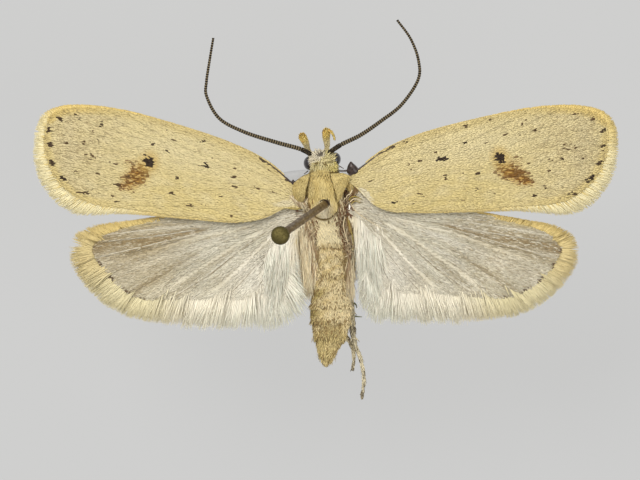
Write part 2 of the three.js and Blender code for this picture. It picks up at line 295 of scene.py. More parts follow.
def new_piece(name, part, material, replaced=()):
    """Makes a Blender object of a part, and sets it on the frame."""
    points, faces, colours, places = part
    mesh = bpy.data.meshes.new(name)
    mesh.vertices.add(len(points))
    mesh.vertices.foreach_set("co", ((points + [0, 0, BODY_LEVEL]) * MM).astype(np.float32).ravel())
    mesh.loops.add(faces.size)
    mesh.loops.foreach_set("vertex_index", faces.astype(np.int32).ravel())
    mesh.polygons.add(len(faces))
    mesh.polygons.foreach_set("loop_start", np.arange(0, faces.size, 3, dtype=np.int32))
    mesh.update(calc_edges=True)
    mesh.shade_smooth()
    tint = mesh.attributes.new("Col", "FLOAT_COLOR", "POINT")
    opaque = np.c_[np.clip(colours, 0, 1), np.ones(len(points))]
    tint.data.foreach_set("color", opaque.astype(np.float32).ravel())
    if places is not None:
        layer = mesh.uv_layers.new(name="OFBake")
        layer.data.foreach_set("uv", places[faces.ravel()].astype(np.float32).ravel())
    piece = bpy.data.objects.new(name, mesh)
    bpy.context.scene.collection.objects.link(piece)
    mesh.materials.append(material)
    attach(piece, "root")
    if replaced:
        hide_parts(*replaced)
    return piece


# A blade's rings from its root to its tip: how far along, its half width, and its ridge, as shares.
SCALE = [(0.0, 0.35, 0.4), (0.55, 1.0, 1.0), (1.0, 0.62, 0.3)]
HAIR = [(0.0, 0.7, 0.7), (0.4, 1.0, 1.0), (1.0, 0.16, 0.2)]
LOCK = [(0.0, 0.5, 0.6), (0.35, 1.0, 1.0), (0.75, 0.75, 0.7), (1.0, 0.12, 0.1)]


def blades(root, along, up, length, half_width, colour, place, shape=SCALE,
           rise=0.1, curl=0.0, sway=0.0, thick=0.25, shade=(0.8, 1.0, 1.08)):
    """Closed blades, one at each root, that lie along the skin.

    rise and curl lift a blade from the skin, as a slope and as a bend, and sway bends it sideways.
    Their colour runs through shade from root to tip: darker at the root as painted shade, where blades lie
    under one another, and lighter at the tip as painted light.
    """
    count = len(root)
    wide = np.broadcast_to(half_width, count)[:, None]
    long = np.broadcast_to(length, count)[:, None]
    side = unit(np.cross(along, up))
    up = np.cross(side, along)
    t, half, ridge = np.array(shape).T
    rise, curl, sway = [np.broadcast_to(slope, count)[:, None] for slope in (rise, curl, sway)]
    lift = long * (rise * t + curl * t ** 2)
    drift = long * sway * t ** 2
    spine = root[:, None] + along[:, None] * (long * t)[..., None]
    spine = spine + up[:, None] * lift[..., None] + side[:, None] * drift[..., None]
    edge = side[:, None] * (wide * half)[..., None]
    crest = up[:, None] * (wide * thick * ridge)[..., None]
    points = np.stack([spine - edge, spine + crest, spine + edge], axis=2)
    rings = len(t)
    # Painted shade at the roots and painted light at the tips.
    tones = np.interp(t, np.linspace(0, 1, len(shade)), shade)
    colours = colour[:, None, None] * np.tile(tones[:, None, None], (1, 3, 1))[None]
    patch = np.stack([np.tile((t - 0.5)[:, None], (1, 3)), np.tile([-0.3, 0, 0.3], (rings, 1))], -1)
    places = place[:, None, None] + patch[None] * PATCH
    a = np.arange(rings - 1)[:, None] * 3 + np.arange(3)
    b = np.arange(rings - 1)[:, None] * 3 + (np.arange(3) + 1) % 3
    tip = 3 * (rings - 1)
    faces = np.vstack([
        np.stack([a, b, b + 3], -1).reshape(-1, 3),
        np.stack([a, b + 3, a + 3], -1).reshape(-1, 3),
        [[0, 2, 1], [tip, tip + 1, tip + 2]],
    ])
    faces = (faces[None] + (np.arange(count) * rings * 3)[:, None, None]).reshape(-1, 3)
    return points.reshape(-1, 3), faces, colours.reshape(-1, 3), places.reshape(-1, 2)


def tube_frames(curve, share):
    """Points along a curve, with its heading, side and up there, carried along without a twist."""
    heading = curve.heading(share)
    up = np.empty_like(heading)
    start = np.array([0.0, 0.0, 1.0]) if abs(heading[0, 2]) < 0.9 else np.array([0.0, 1.0, 0.0])
    for i, way in enumerate(heading):
        start = start - way * (way @ start)
        start = start / np.linalg.norm(start)
        up[i] = start
    return curve.at(share), heading, np.cross(heading, up), up


def tube(curve, share, radius, colour, sides=10):
    """A closed tube, with a radius and a colour for each ring."""
    middle, _, side, up = tube_frames(curve, share)
    turn = np.arange(sides) / sides * FULL_TURN
    ring = side[:, None] * np.cos(turn)[None, :, None] + up[:, None] * np.sin(turn)[None, :, None]
    points = (middle[:, None] + ring * radius[:, None, None]).reshape(-1, 3)
    points = np.vstack([points, middle[0], middle[-1]])
    colours = np.vstack([np.repeat(colour, sides, axis=0), colour[:1], colour[-1:]])
    return outward((points, capped_faces(len(share), sides), colours, None))


def ball(middle, half, tint, sides, rows, shape=None):
    """An ellipsoid about an upright axis. shape may move its unit points."""
    down, around = np.mgrid[1:rows, 0:sides]
    down = down / rows * math.pi
    around = around / sides * FULL_TURN
    rings = np.stack([np.sin(down) * np.cos(around), np.sin(down) * np.sin(around), np.cos(down)], -1)
    points = np.vstack([rings.reshape(-1, 3), [[0, 0, 1], [0, 0, -1]]])
    if shape:
        points = shape(points)
    return outward((points * half + middle, capped_faces(rows - 1, sides), even(tint, len(points)), None))


# ---------------------------------------------------------------- materials

def principled(name, roughness, metallic=0.0, specular=0.5):
    """A new material with its shader and a texture coordinate in object space."""
    material = bpy.data.materials.new(name)
    material.use_nodes = True
    nodes = material.node_tree.nodes
    shader = nodes["Principled BSDF"]
    shader.inputs["Roughness"].default_value = roughness
    shader.inputs["Metallic"].default_value = metallic
    shader.inputs["Specular IOR Level"].default_value = specular
    place = nodes.new("ShaderNodeTexCoord")
    return material, nodes, material.node_tree.links, shader, place.outputs["Object"]


def noise(nodes, links, place, size, detail=3.0, stretch=(1, 1, 1)):
    """Noise with blotches of about the given size in millimetres."""
    mapping = nodes.new("ShaderNodeMapping")
    mapping.inputs["Scale"].default_value = stretch
    texture = nodes.new("ShaderNodeTexNoise")
    texture.inputs["Scale"].default_value = 1 / (size * MM)
    texture.inputs["Detail"].default_value = detail
    links.new(place, mapping.inputs["Vector"])
    links.new(mapping.outputs["Vector"], texture.inputs["Vector"])
    return texture.outputs["Fac"]


def spread(nodes, links, value, low, high):
    """A value of 0.3 to 0.7 spread over low to high."""
    node = nodes.new("ShaderNodeMapRange")
    node.inputs["From Min"].default_value = 0.3
    node.inputs["From Max"].default_value = 0.7
    node.inputs["To Min"].default_value = low
    node.inputs["To Max"].default_value = high
    links.new(value, node.inputs["Value"])
    return node.outputs["Result"]


def tinted(nodes, links, value, colour_from, shader):
    """The colour times a value, into the shader."""
    scale = nodes.new("ShaderNodeVectorMath")
    scale.operation = "SCALE"
    links.new(colour_from, scale.inputs[0])
    links.new(value, scale.inputs["Scale"])
    links.new(scale.outputs["Vector"], shader.inputs["Base Color"])


def ramped(nodes, links, value, shader, first, second, span=(0.0, 1.0)):
    """A colour that goes from a first to a second one over a span of a value, into the shader."""
    ramp = nodes.new("ShaderNodeValToRGB")
    for stop, tone, position in zip(ramp.color_ramp.elements, (first, second), span):
        stop.position = position
        stop.color = (*linear(*tone), 1)
    links.new(value, ramp.inputs["Fac"])
    links.new(ramp.outputs["Color"], shader.inputs["Base Color"])


def bumped(nodes, links, value, depth, shader, strength=0.5):
    """Bumps of so many millimetres by a value, into the shader."""
    node = nodes.new("ShaderNodeBump")
    node.inputs["Strength"].default_value = strength
    node.inputs["Distance"].default_value = depth * MM
    links.new(value, node.inputs["Height"])
    links.new(node.outputs["Normal"], shader.inputs["Normal"])


def scaly(name, rough=(0.45, 0.7), grain=0.02, contrast=0.08, specular=0.4, sheen=0.0, ridge=0.004):
    """Scales and hairs: the mesh's own colour, finely mottled, on a finely ridged, satin surface."""
    material, nodes, links, shader, place = principled(name, rough[0], specular=specular)
    shader.inputs["Sheen Weight"].default_value = sheen
    shader.inputs["Sheen Roughness"].default_value = 0.4
    own = nodes.new("ShaderNodeAttribute")
    own.attribute_name = "Col"
    fine = noise(nodes, links, place, grain)
    broad = noise(nodes, links, place, 0.35, detail=2.0)
    links.new(spread(nodes, links, broad, rough[0], rough[1]), shader.inputs["Roughness"])
    tinted(nodes, links, spread(nodes, links, fine, 1 - contrast, 1 + contrast), own.outputs["Color"], shader)
    bumped(nodes, links, fine, ridge, shader)
    return material


def glossy_cuticle(name, colour, dark, rough=0.22):
    """Bare cuticle: dark, glossy and unevenly tinted."""
    material, nodes, links, shader, place = principled(name, rough)
    blotch = noise(nodes, links, place, 0.12)
    ramped(nodes, links, blotch, shader, dark, colour, span=(0.35, 0.65))
    links.new(spread(nodes, links, blotch, rough, rough + 0.2), shader.inputs["Roughness"])
    bumped(nodes, links, noise(nodes, links, place, 0.03), 0.004, shader)
    return material


# An eye's facets: their size, and the colours of their middles and their edges.
FACET_SIZE = 0.024
FACET_PALE = (52, 47, 50)
FACET_DARK = (22, 19, 20)


def eye_material():
    """A compound eye: nearly black, glossy, with its facets as a fine mesh of bumps."""
    material, nodes, links, shader, place = principled("eye_facets", 0.14)
    shader.inputs["Coat Weight"].default_value = 0.4
    shader.inputs["Coat Roughness"].default_value = 0.12
    cells = nodes.new("ShaderNodeTexVoronoi")
    cells.inputs["Scale"].default_value = 1 / (FACET_SIZE * MM)
    links.new(place, cells.inputs["Vector"])
    ramped(nodes, links, cells.outputs["Distance"], shader, FACET_PALE, FACET_DARK)
    links.new(spread(nodes, links, noise(nodes, links, place, 0.1), 0.12, 0.3), shader.inputs["Roughness"])
    bumped(nodes, links, cells.outputs["Distance"], -0.006, shader)
    return material


def metal(name, colour, dull, rough):
    """Drawn metal: lightly scratched along its length, a little tarnished."""
    material, nodes, links, shader, place = principled(name, rough, metallic=1.0)
    ramped(nodes, links, noise(nodes, links, place, 0.5), shader, dull, colour)
    scratches = noise(nodes, links, place, 0.08, stretch=(1, 1, 0.06))
    links.new(spread(nodes, links, scratches, rough * 0.7, rough * 1.5), shader.inputs["Roughness"])
    bumped(nodes, links, scratches, 0.003, shader)
    return material


def plain_stone(name, colour, rough=0.55):
    """A pale, fine-grained, honed foot."""
    material, nodes, links, shader, place = principled(name, rough)
    grain = noise(nodes, links, place, 0.25, detail=6.0)
    ramped(nodes, links, grain, shader, [c * 0.93 for c in colour], colour, span=(0.3, 0.62))
    links.new(spread(nodes, links, grain, rough - 0.1, rough + 0.15), shader.inputs["Roughness"])
    bumped(nodes, links, grain, 0.01, shader, strength=0.3)
    return material


# ---------------------------------------------------------------- wings

# Outlines to the tips of the fringe, as in the CAD, and the membranes' own, where the fringe is rooted.
FOREWING_FRONT = [
    (-0.35, 0.1), (0.3, 0.32), (1.3, 0.78), (2.8, 1.07), (4.8, 1.17), (6.8, 1.15), (8.3, 0.92), (9.2, 0.56),
    (9.6, 0.15),
]
FOREWING_REAR = [
    (-0.35, -0.25), (0.3, -0.55), (0.8, -1.19), (1.8, -1.67), (3.8, -2.08), (5.6, -2.43), (6.8, -2.81),
    (7.6, -2.95), (8.4, -2.66), (9.1, -2.02), (9.5, -1.23), (9.67, -0.4),
]
HINDWING_FRONT = [
    (-0.3, 0.1), (0.8, 0.45), (2.8, 0.5), (5.0, 0.4), (6.8, 0.35), (7.5, 0.27), (8.03, 0.05), (8.31, -0.4),
]
FOREWING_MEMBRANE = {
    "front": [
        (-0.35, 0.06), (0.3, 0.28), (1.3, 0.73), (2.8, 1.02), (4.8, 1.11), (6.8, 1.06), (8.2, 0.8),
        (8.95, 0.48), (9.25, 0.12),
    ],
    "rear": [
        (1.8, -1.63), (3.8, -1.98), (5.6, -2.22), (6.6, -2.38), (7.4, -2.35), (8.1, -2.1), (8.65, -1.65),
        (9.05, -1.05), (9.25, -0.4),
    ],
}
# The forewing's rear edge near the hinge, where a lobe of scales covers the hindwing's root.
FOREWING_LOBE = {
    "left": [(-0.5, -0.38), (-0.16, -0.6), (0.28, -0.72), (0.7, -1.1), (1.15, -1.4)],
    "right": [(-0.2, -0.12), (-0.02, -0.24), (0.22, -0.6), (0.5, -1.03), (0.76, -1.27), (1.2, -1.52)],
}
HINDWING_MEMBRANE = {
    "front": [
        (-0.35, 0.45), (0.2, 0.55), (0.8, 0.55), (1.6, 0.5), (2.8, 0.43), (5.0, 0.3), (6.4, 0.17),
        (7.2, 0.0), (7.65, -0.3), (7.78, -0.5),
    ],
    "rear": [
        (-0.3, -0.25), (0.15, -0.7), (0.45, -1.6), (1.0, -2.5), (2.1, -2.82), (3.4, -2.72), (5.2, -2.62),
        (6.1, -2.5), (6.85, -2.1), (7.35, -1.55), (7.68, -1.0), (7.78, -0.62),
    ],
}
# How far each hindwing's membrane is drawn in at its tip, where its fringe is widest.
HINDWING_DRAWN_IN = {"left": 0.34, "right": 0.16}


def hindwing_rear(inner_corner):
    """The rear edge of a hindwing, whose corner beside the body is so far out from the hinge."""
    return [
        (-0.3, -0.3), (0.1, -0.75), (0.5 * inner_corner + 0.05, -2.2), (inner_corner, -3.62), (1.5, -3.98),
        (2.5, -3.9), (4.0, -3.71), (5.5, -3.42), (6.6, -3.07), (7.37, -2.5), (7.99, -1.73), (8.35, -0.95),
    ]


# Veins and folds, from the root to the margin. Folds sink and veins stand up.
FOREWING_VEINS = [
    [(0.2, 0.15), (1.5, 0.6), (3.5, 0.85), (5.2, 1.05)],
    [(0.2, 0.05), (2.0, 0.35), (4.2, 0.45), (6.4, 0.98)],
    [(4.2, 0.45), (5.8, 0.5), (7.6, 0.85)],
    [(5.0, 0.35), (6.8, 0.35), (8.7, 0.5)],
    [(5.3, 0.1), (7.2, 0.05), (9.2, -0.05)],
    [(5.3, -0.2), (7.2, -0.35), (9.1, -0.7)],
    [(5.2, -0.45), (7.0, -0.85), (8.8, -1.35)],
    [(5.0, -0.7), (6.5, -1.25), (8.3, -1.85)],
    [(0.3, -0.1), (2.5, -0.35), (5.0, -0.7), (6.2, -1.5), (7.4, -2.25)],
    [(0.3, -0.45), (1.8, -1.15), (3.8, -1.6), (5.6, -2.05)],
]
FOREWING_FOLDS = [
    [(0.3, -0.2), (1.8, -0.45), (3.0, -0.85), (4.6, -1.3), (6.2, -1.9)],
]
HINDWING_VEINS = [
    [(0.1, 0.05), (1.6, 0.2), (3.4, 0.12), (5.0, 0.18), (6.3, 0.1)],
    [(0.1, 0.0), (2.0, -0.18), (3.6, -0.18), (5.2, -0.28), (7.4, -0.3)],
    [(3.6, -0.35), (5.3, -0.66), (7.6, -0.85)],
    [(3.7, -0.7), (5.2, -1.05), (7.2, -1.5)],
    [(0.2, -0.1), (1.8, -0.5), (3.6, -1.0), (5.2, -1.75), (6.4, -2.3)],
    [(2.9, -0.95), (4.2, -1.65), (5.3, -2.55)],
    [(0.2, -0.15), (1.4, -0.65), (2.9, -1.55), (4.5, -2.6)],
    [(0.15, -0.3), (1.2, -1.2), (2.4, -2.2), (3.1, -2.72)],
    [(0.1, -0.4), (0.8, -1.1), (1.4, -2.05), (2.0, -2.75)],
    [(0.0, -0.5), (0.5, -1.4), (0.9, -2.3)],
]
HINDWING_FOLDS = [
    [(0.3, -0.05), (2.2, -0.35), (3.9, -0.52), (5.6, -0.9), (7.4, -1.15)],
    [(0.3, -0.12), (2.0, -0.75), (3.4, -1.45), (5.0, -2.3)],
    [(0.2, -0.2), (1.2, -0.85), (2.3, -1.75), (3.6, -2.65)],
    [(0.1, -0.35), (0.95, -1.25), (1.7, -2.3)],
]

# Light and dark bands between the hindwing's folds, painted as the light and shade of its pleats and veins,
# the thin pale ones also the veins' paler scales: tone, strength, half widths at both ends, line.
HINDWING_BANDS = [
    ("dark", 0.95, 0.1, 0.42, [(3.0, -0.18), (5.0, -0.4), (7.7, -0.62)]),
    ("dark", 0.5, 0.04, 0.1, [(3.6, 0.0), (4.6, 0.07), (6.6, 0.08)]),
    ("pale", 0.75, 0.05, 0.4, [(2.6, -0.5), (4.4, -1.0), (7.2, -1.72)]),
    ("dark", 0.5, 0.04, 0.15, [(3.5, -0.95), (4.9, -1.6), (6.3, -2.35)]),
    ("pale", 0.6, 0.04, 0.16, [(2.9, -0.95), (4.2, -1.7), (5.1, -2.5)]),
    ("dark", 0.32, 0.05, 0.2, [(2.2, -0.85), (3.7, -1.85), (4.7, -2.6)]),
    ("pale", 0.6, 0.015, 0.02, [(3.7, -0.36), (5.4, -0.6), (7.4, -0.87)]),
    ("pale", 0.5, 0.015, 0.02, [(3.4, -0.2), (5.2, -0.3), (7.0, -0.32)]),
    ("pale", 0.4, 0.015, 0.02, [(4.0, -0.04), (5.8, -0.06), (7.1, -0.1)]),
    ("pale", 0.6, 0.02, 0.025, [(0.5, -0.12), (2.0, -0.93), (3.4, -1.83), (4.9, -2.6)]),
    ("dark", 0.6, 0.012, 0.02, [(0.5, -0.16), (2.0, -0.98), (3.4, -1.88), (4.9, -2.64)]),
    ("dark", 0.45, 0.012, 0.02, [(0.6, -0.4), (1.3, -1.3), (2.1, -2.1), (2.8, -2.7)]),
    ("dark", 0.5, 0.012, 0.02, [(0.5, -0.7), (1.0, -1.35), (1.35, -2.0), (1.9, -2.8)]),
    ("dark", 0.3, 0.1, 0.35, [(0.7, -0.45), (1.7, -1.4), (2.8, -2.4)]),
    ("pale", 0.7, 0.05, 0.25, [(0.6, -0.75), (1.2, -1.7), (1.9, -2.6)]),
    ("pale", 0.6, 0.03, 0.12, [(0.3, 0.0), (1.8, -0.4), (3.4, -0.72)]),
]

# Marks: x, y, half length, half width, turn in degrees, and the share of dark scales in its middle.
FOREWING_MARKS = {
    "right": [
        (3.25, 0.0, 0.19, 0.08, 0, 1.0), (5.33, -0.4, 0.17, 0.2, 20, 1.0),
        (5.62, -0.66, 0.08, 0.06, 0, 0.5), (9.14, -0.2, 0.09, 0.09, 0, 0.84),
        (9.0, -0.76, 0.1, 0.08, 60, 0.84), (8.76, -1.34, 0.13, 0.08, 20, 0.84),
        (8.33, -1.8, 0.17, 0.08, 25, 0.9), (7.6, -2.2, 0.15, 0.07, -25, 0.8),
        (6.68, -1.77, 0.08, 0.14, 20, 0.7), (2.1, 0.87, 0.05, 0.06, 0, 0.8),
        (4.35, 0.96, 0.1, 0.05, 0, 0.7), (4.18, 0.39, 0.09, 0.05, 0, 0.9), (4.9, 0.22, 0.05, 0.04, 0, 0.6),
        (5.7, 0.37, 0.07, 0.04, -25, 0.6), (6.25, 0.21, 0.06, 0.05, 0, 0.6),
        (6.75, 0.31, 0.08, 0.06, 0, 0.7), (6.4, 0.66, 0.14, 0.04, 30, 0.5),
        (7.6, 0.58, 0.13, 0.05, 25, 0.7), (8.28, 0.53, 0.12, 0.06, 0, 0.6), (8.9, 0.28, 0.12, 0.07, 0, 0.5),
        (2.5, 0.1, 0.08, 0.05, 30, 0.7), (2.1, 0.08, 0.05, 0.05, 0, 0.6), (2.13, -0.13, 0.06, 0.05, 0, 0.6),
        (3.1, 0.26, 0.04, 0.05, 0, 0.5), (0.6, -0.24, 0.08, 0.04, -30, 0.7),
        (1.28, -1.17, 0.08, 0.04, 0, 1.0), (2.3, -1.12, 0.14, 0.07, -30, 0.6),
        (1.9, -1.36, 0.05, 0.08, 0, 0.3), (3.28, -0.66, 0.05, 0.1, -10, 0.7),
        (3.85, -0.67, 0.05, 0.05, 0, 0.5), (4.38, -0.78, 0.08, 0.05, 0, 0.8),
        (3.68, -1.6, 0.07, 0.06, 30, 0.6), (4.25, -1.36, 0.08, 0.05, 0, 0.6),
        (4.86, -1.6, 0.05, 0.03, 0, 0.6), (4.3, -1.86, 0.06, 0.05, 0, 0.4),
        (6.25, -0.8, 0.07, 0.05, 0, 0.5), (6.95, -0.42, 0.07, 0.06, 40, 0.6),
        (7.1, -0.86, 0.07, 0.06, 0, 0.6), (7.48, -0.9, 0.08, 0.05, 0, 0.8),
        (8.2, -1.02, 0.09, 0.06, 0, 0.7), (6.93, -1.2, 0.05, 0.05, 0, 0.6),
        (6.22, -1.96, 0.05, 0.04, 0, 0.8), (7.25, -1.95, 0.08, 0.06, 0, 0.5),
        (7.8, -0.55, 0.3, 0.2, 0, 0.13), (5.25, 0.98, 0.06, 0.03, 0, 0.5), (3.6, 0.27, 0.04, 0.03, 0, 0.5),
    ],
    "left": [
        (3.35, 0.04, 0.14, 0.09, 15, 1.0), (3.64, -0.05, 0.1, 0.025, 0, 0.8),
        (5.38, -0.42, 0.18, 0.2, 0, 1.0), (9.14, -0.28, 0.1, 0.11, 30, 0.84),
        (8.96, -0.76, 0.1, 0.09, 40, 0.84), (8.7, -1.36, 0.11, 0.09, 20, 0.84),
        (8.2, -1.82, 0.12, 0.09, 0, 0.9), (7.35, -2.12, 0.15, 0.07, 0, 0.7),
        (3.74, 0.8, 0.09, 0.06, -20, 0.8), (5.1, 0.86, 0.06, 0.04, 0, 0.5), (4.84, 0.6, 0.06, 0.05, 0, 0.6),
        (4.22, 0.32, 0.04, 0.06, 0, 0.5), (2.36, 0.17, 0.05, 0.04, 0, 0.6),
        (3.28, 0.33, 0.05, 0.04, 0, 0.6), (4.86, 0.12, 0.07, 0.05, 0, 0.8),
        (5.44, 0.26, 0.09, 0.07, -30, 0.84), (7.4, 0.44, 0.06, 0.1, 0, 0.8),
        (8.27, 0.45, 0.16, 0.04, 25, 0.8), (8.84, 0.22, 0.1, 0.08, 0, 0.8),
        (7.62, 0.08, 0.06, 0.05, 0, 0.6), (7.85, -0.03, 0.07, 0.04, 0, 0.5),
        (7.38, -0.2, 0.07, 0.05, 0, 0.4), (7.8, -0.4, 0.1, 0.06, 20, 0.4), (8.4, -0.55, 0.1, 0.06, 0, 0.3),
        (7.5, -0.8, 0.18, 0.12, 0, 0.2), (6.5, -0.82, 0.09, 0.05, 0, 0.6),
        (6.76, -0.81, 0.06, 0.04, 0, 0.6), (2.18, -0.44, 0.1, 0.06, 0, 0.7),
        (2.3, -0.1, 0.12, 0.03, -35, 0.7), (1.45, -0.3, 0.06, 0.06, 0, 0.4),
        (0.8, -0.26, 0.1, 0.03, 0, 0.4), (4.28, -0.7, 0.05, 0.06, 0, 0.8), (2.6, -0.9, 0.08, 0.04, 20, 0.5),
        (4.28, -1.3, 0.08, 0.09, 0, 0.8), (3.1, -1.36, 0.09, 0.05, 0, 0.6),
        (3.55, -1.5, 0.12, 0.06, 0, 0.7), (2.0, -1.45, 0.04, 0.06, 0, 0.5),
        (4.25, -1.95, 0.1, 0.03, 0, 0.4), (5.72, -2.08, 0.07, 0.03, 0, 0.6),
        (6.16, -2.13, 0.09, 0.03, -20, 0.8), (6.25, -1.52, 0.1, 0.05, 0, 0.7),
        (6.35, -1.95, 0.1, 0.04, 0, 0.6), (7.14, -1.93, 0.09, 0.06, 0, 0.7),
        (7.0, -1.3, 0.06, 0.05, 0, 0.5), (7.8, -1.46, 0.08, 0.05, 0, 0.6), (6.0, -1.1, 0.04, 0.04, 0, 0.5),
        (1.2, 0.42, 0.06, 0.1, 30, 0.2),
    ],
}
# The reddish brown cloud behind the second discal spot: blots of x, y, half sizes, turn and strength.
FOREWING_CLOUD = {
    "right": [
        (5.42, -0.92, 0.36, 0.24, -30, 0.9), (5.8, -1.15, 0.42, 0.28, -40, 1.2),
        (6.1, -1.44, 0.24, 0.14, -30, 0.8), (5.8, -0.68, 0.26, 0.16, 0, 0.45),
    ],
    "left": [
        (5.55, -0.92, 0.3, 0.3, 20, 0.8), (5.8, -1.2, 0.4, 0.32, -50, 1.0),
        (6.0, -1.5, 0.24, 0.14, -20, 0.6), (5.85, -0.68, 0.32, 0.2, 0, 0.45),
    ],
}

# A painted highlight: a pale streak where each forewing gleams near its hinge.
FOREWING_PAINTED_GLEAM = {
    "left": (0.2, -0.5, 0.5, 0.12, -20, 0.35),
    "right": (0.38, -0.72, 0.36, 0.1, -63, 0.55),
}
# A fully dark mark whose half width is over this has a brownish yellow halo, so many times its own size.
HALO_MARK = 0.15
HALO_SIZE = 1.9
HALO_STRENGTH = 0.6
# What differs between the hindwings: how dark the outer half is, how strongly single pale scales as painted
# glints, dark scales and the broad pale bands of painted light show, how warm the outer half is, and how much
# painted shade shows at the root.
HINDWING_TONES = {
    "left": {"shade": 0.57, "pale": 0.42, "dark": 0.28, "bands": 0.45, "warm": 0.9, "root_shade": 0.2},
    "right": {"shade": 0.24, "pale": 0.75, "dark": 0.45, "bands": 1.0, "warm": 0.6, "root_shade": 0.92},
}
BROAD_BAND = 0.1
WARM_FILTER = np.array([0.97, 0.93, 0.83])
# The membranes' relief: the height of their slow waves, and height and half width of veins and of folds.
RELIEF = {
    "forewing": {"wave": 0.012, "vein": (0.01, 0.07), "fold": (0.02, 0.1)},
    "hindwing": {"wave": 0.02, "vein": (0.03, 0.05), "fold": (0.075, 0.13)},
}

STRAW = linear(219, 200, 143)
STRAW_WARM = linear(217, 196, 132)
STRAW_PALE = linear(222, 207, 160)
STRAW_GREY = linear(204, 187, 143)
COSTA_TAN = linear(206, 184, 122)
APEX_GOLD = linear(216, 188, 112)
MARGIN_GOLD = linear(214, 191, 124)
MARK_DARK = linear(34, 13, 4)
MARK_HALO = linear(196, 158, 74)
SPECK_DARK = linear(88, 64, 34)
HAZE_BROWN = linear(146, 125, 86)
CLOUD_BROWN = linear(98, 56, 12)
CLOUD_TAN = linear(180, 132, 44)
ROOT_DARK = linear(56, 38, 28)
SATIN = linear(211, 203, 178)
SATIN_PALE = linear(229, 221, 200)
SATIN_DARK = linear(154, 134, 96)
HINDWING_WHITE = linear(246, 238, 218)
SATIN_WARM = linear(218, 206, 178)
OCHRE = linear(213, 193, 138)
FRINGE_CREAM = linear(228, 216, 172)
FRINGE_SILK = linear(242, 232, 206)
FRINGE_BODY = linear(232, 218, 184)
RIM_OLIVE = linear(112, 88, 32)
# A dark brown painted as shade in the gaps beside the waist and at the hindwings' roots.
CAVITY_SHADE_BROWN = linear(110, 66, 24)


def blot(x, y, mark, soft=0.27, ragged=0.0):
    """How strongly a mark shows at each point, 1 in its middle. Its edge may be softer, or uneven."""
    middle_x, middle_y, half_length, half_width, turn, strength = mark
    angle = math.radians(turn)
    dx, dy = x - middle_x, y - middle_y
    along = (dx * math.cos(angle) + dy * math.sin(angle)) / half_length
    across = (dy * math.cos(angle) - dx * math.sin(angle)) / half_width
    edge = 0.98 + (ragged * mottle(x, y, 0.09, 91) if ragged else 0.0)
    return strength * smooth(edge + soft, edge - soft, np.hypot(along, across))


def drawn_in(line, amount):
    """A wing-space line with its outer end drawn in, towards the hinge and the wing's middle."""
    return [
        (x - amount * smooth(5.0, 7.7, x), y - 0.3 * amount * smooth(4.5, 7.0, x) * np.sign(y + 0.5))
        for x, y in line
    ]


def closed_edge(front, rear):
    """A closed outline: out along a front edge and back along a rear one."""
    return np.vstack([front.at(np.linspace(0, 1, 160)), rear.at(np.linspace(1, 0, 200))])


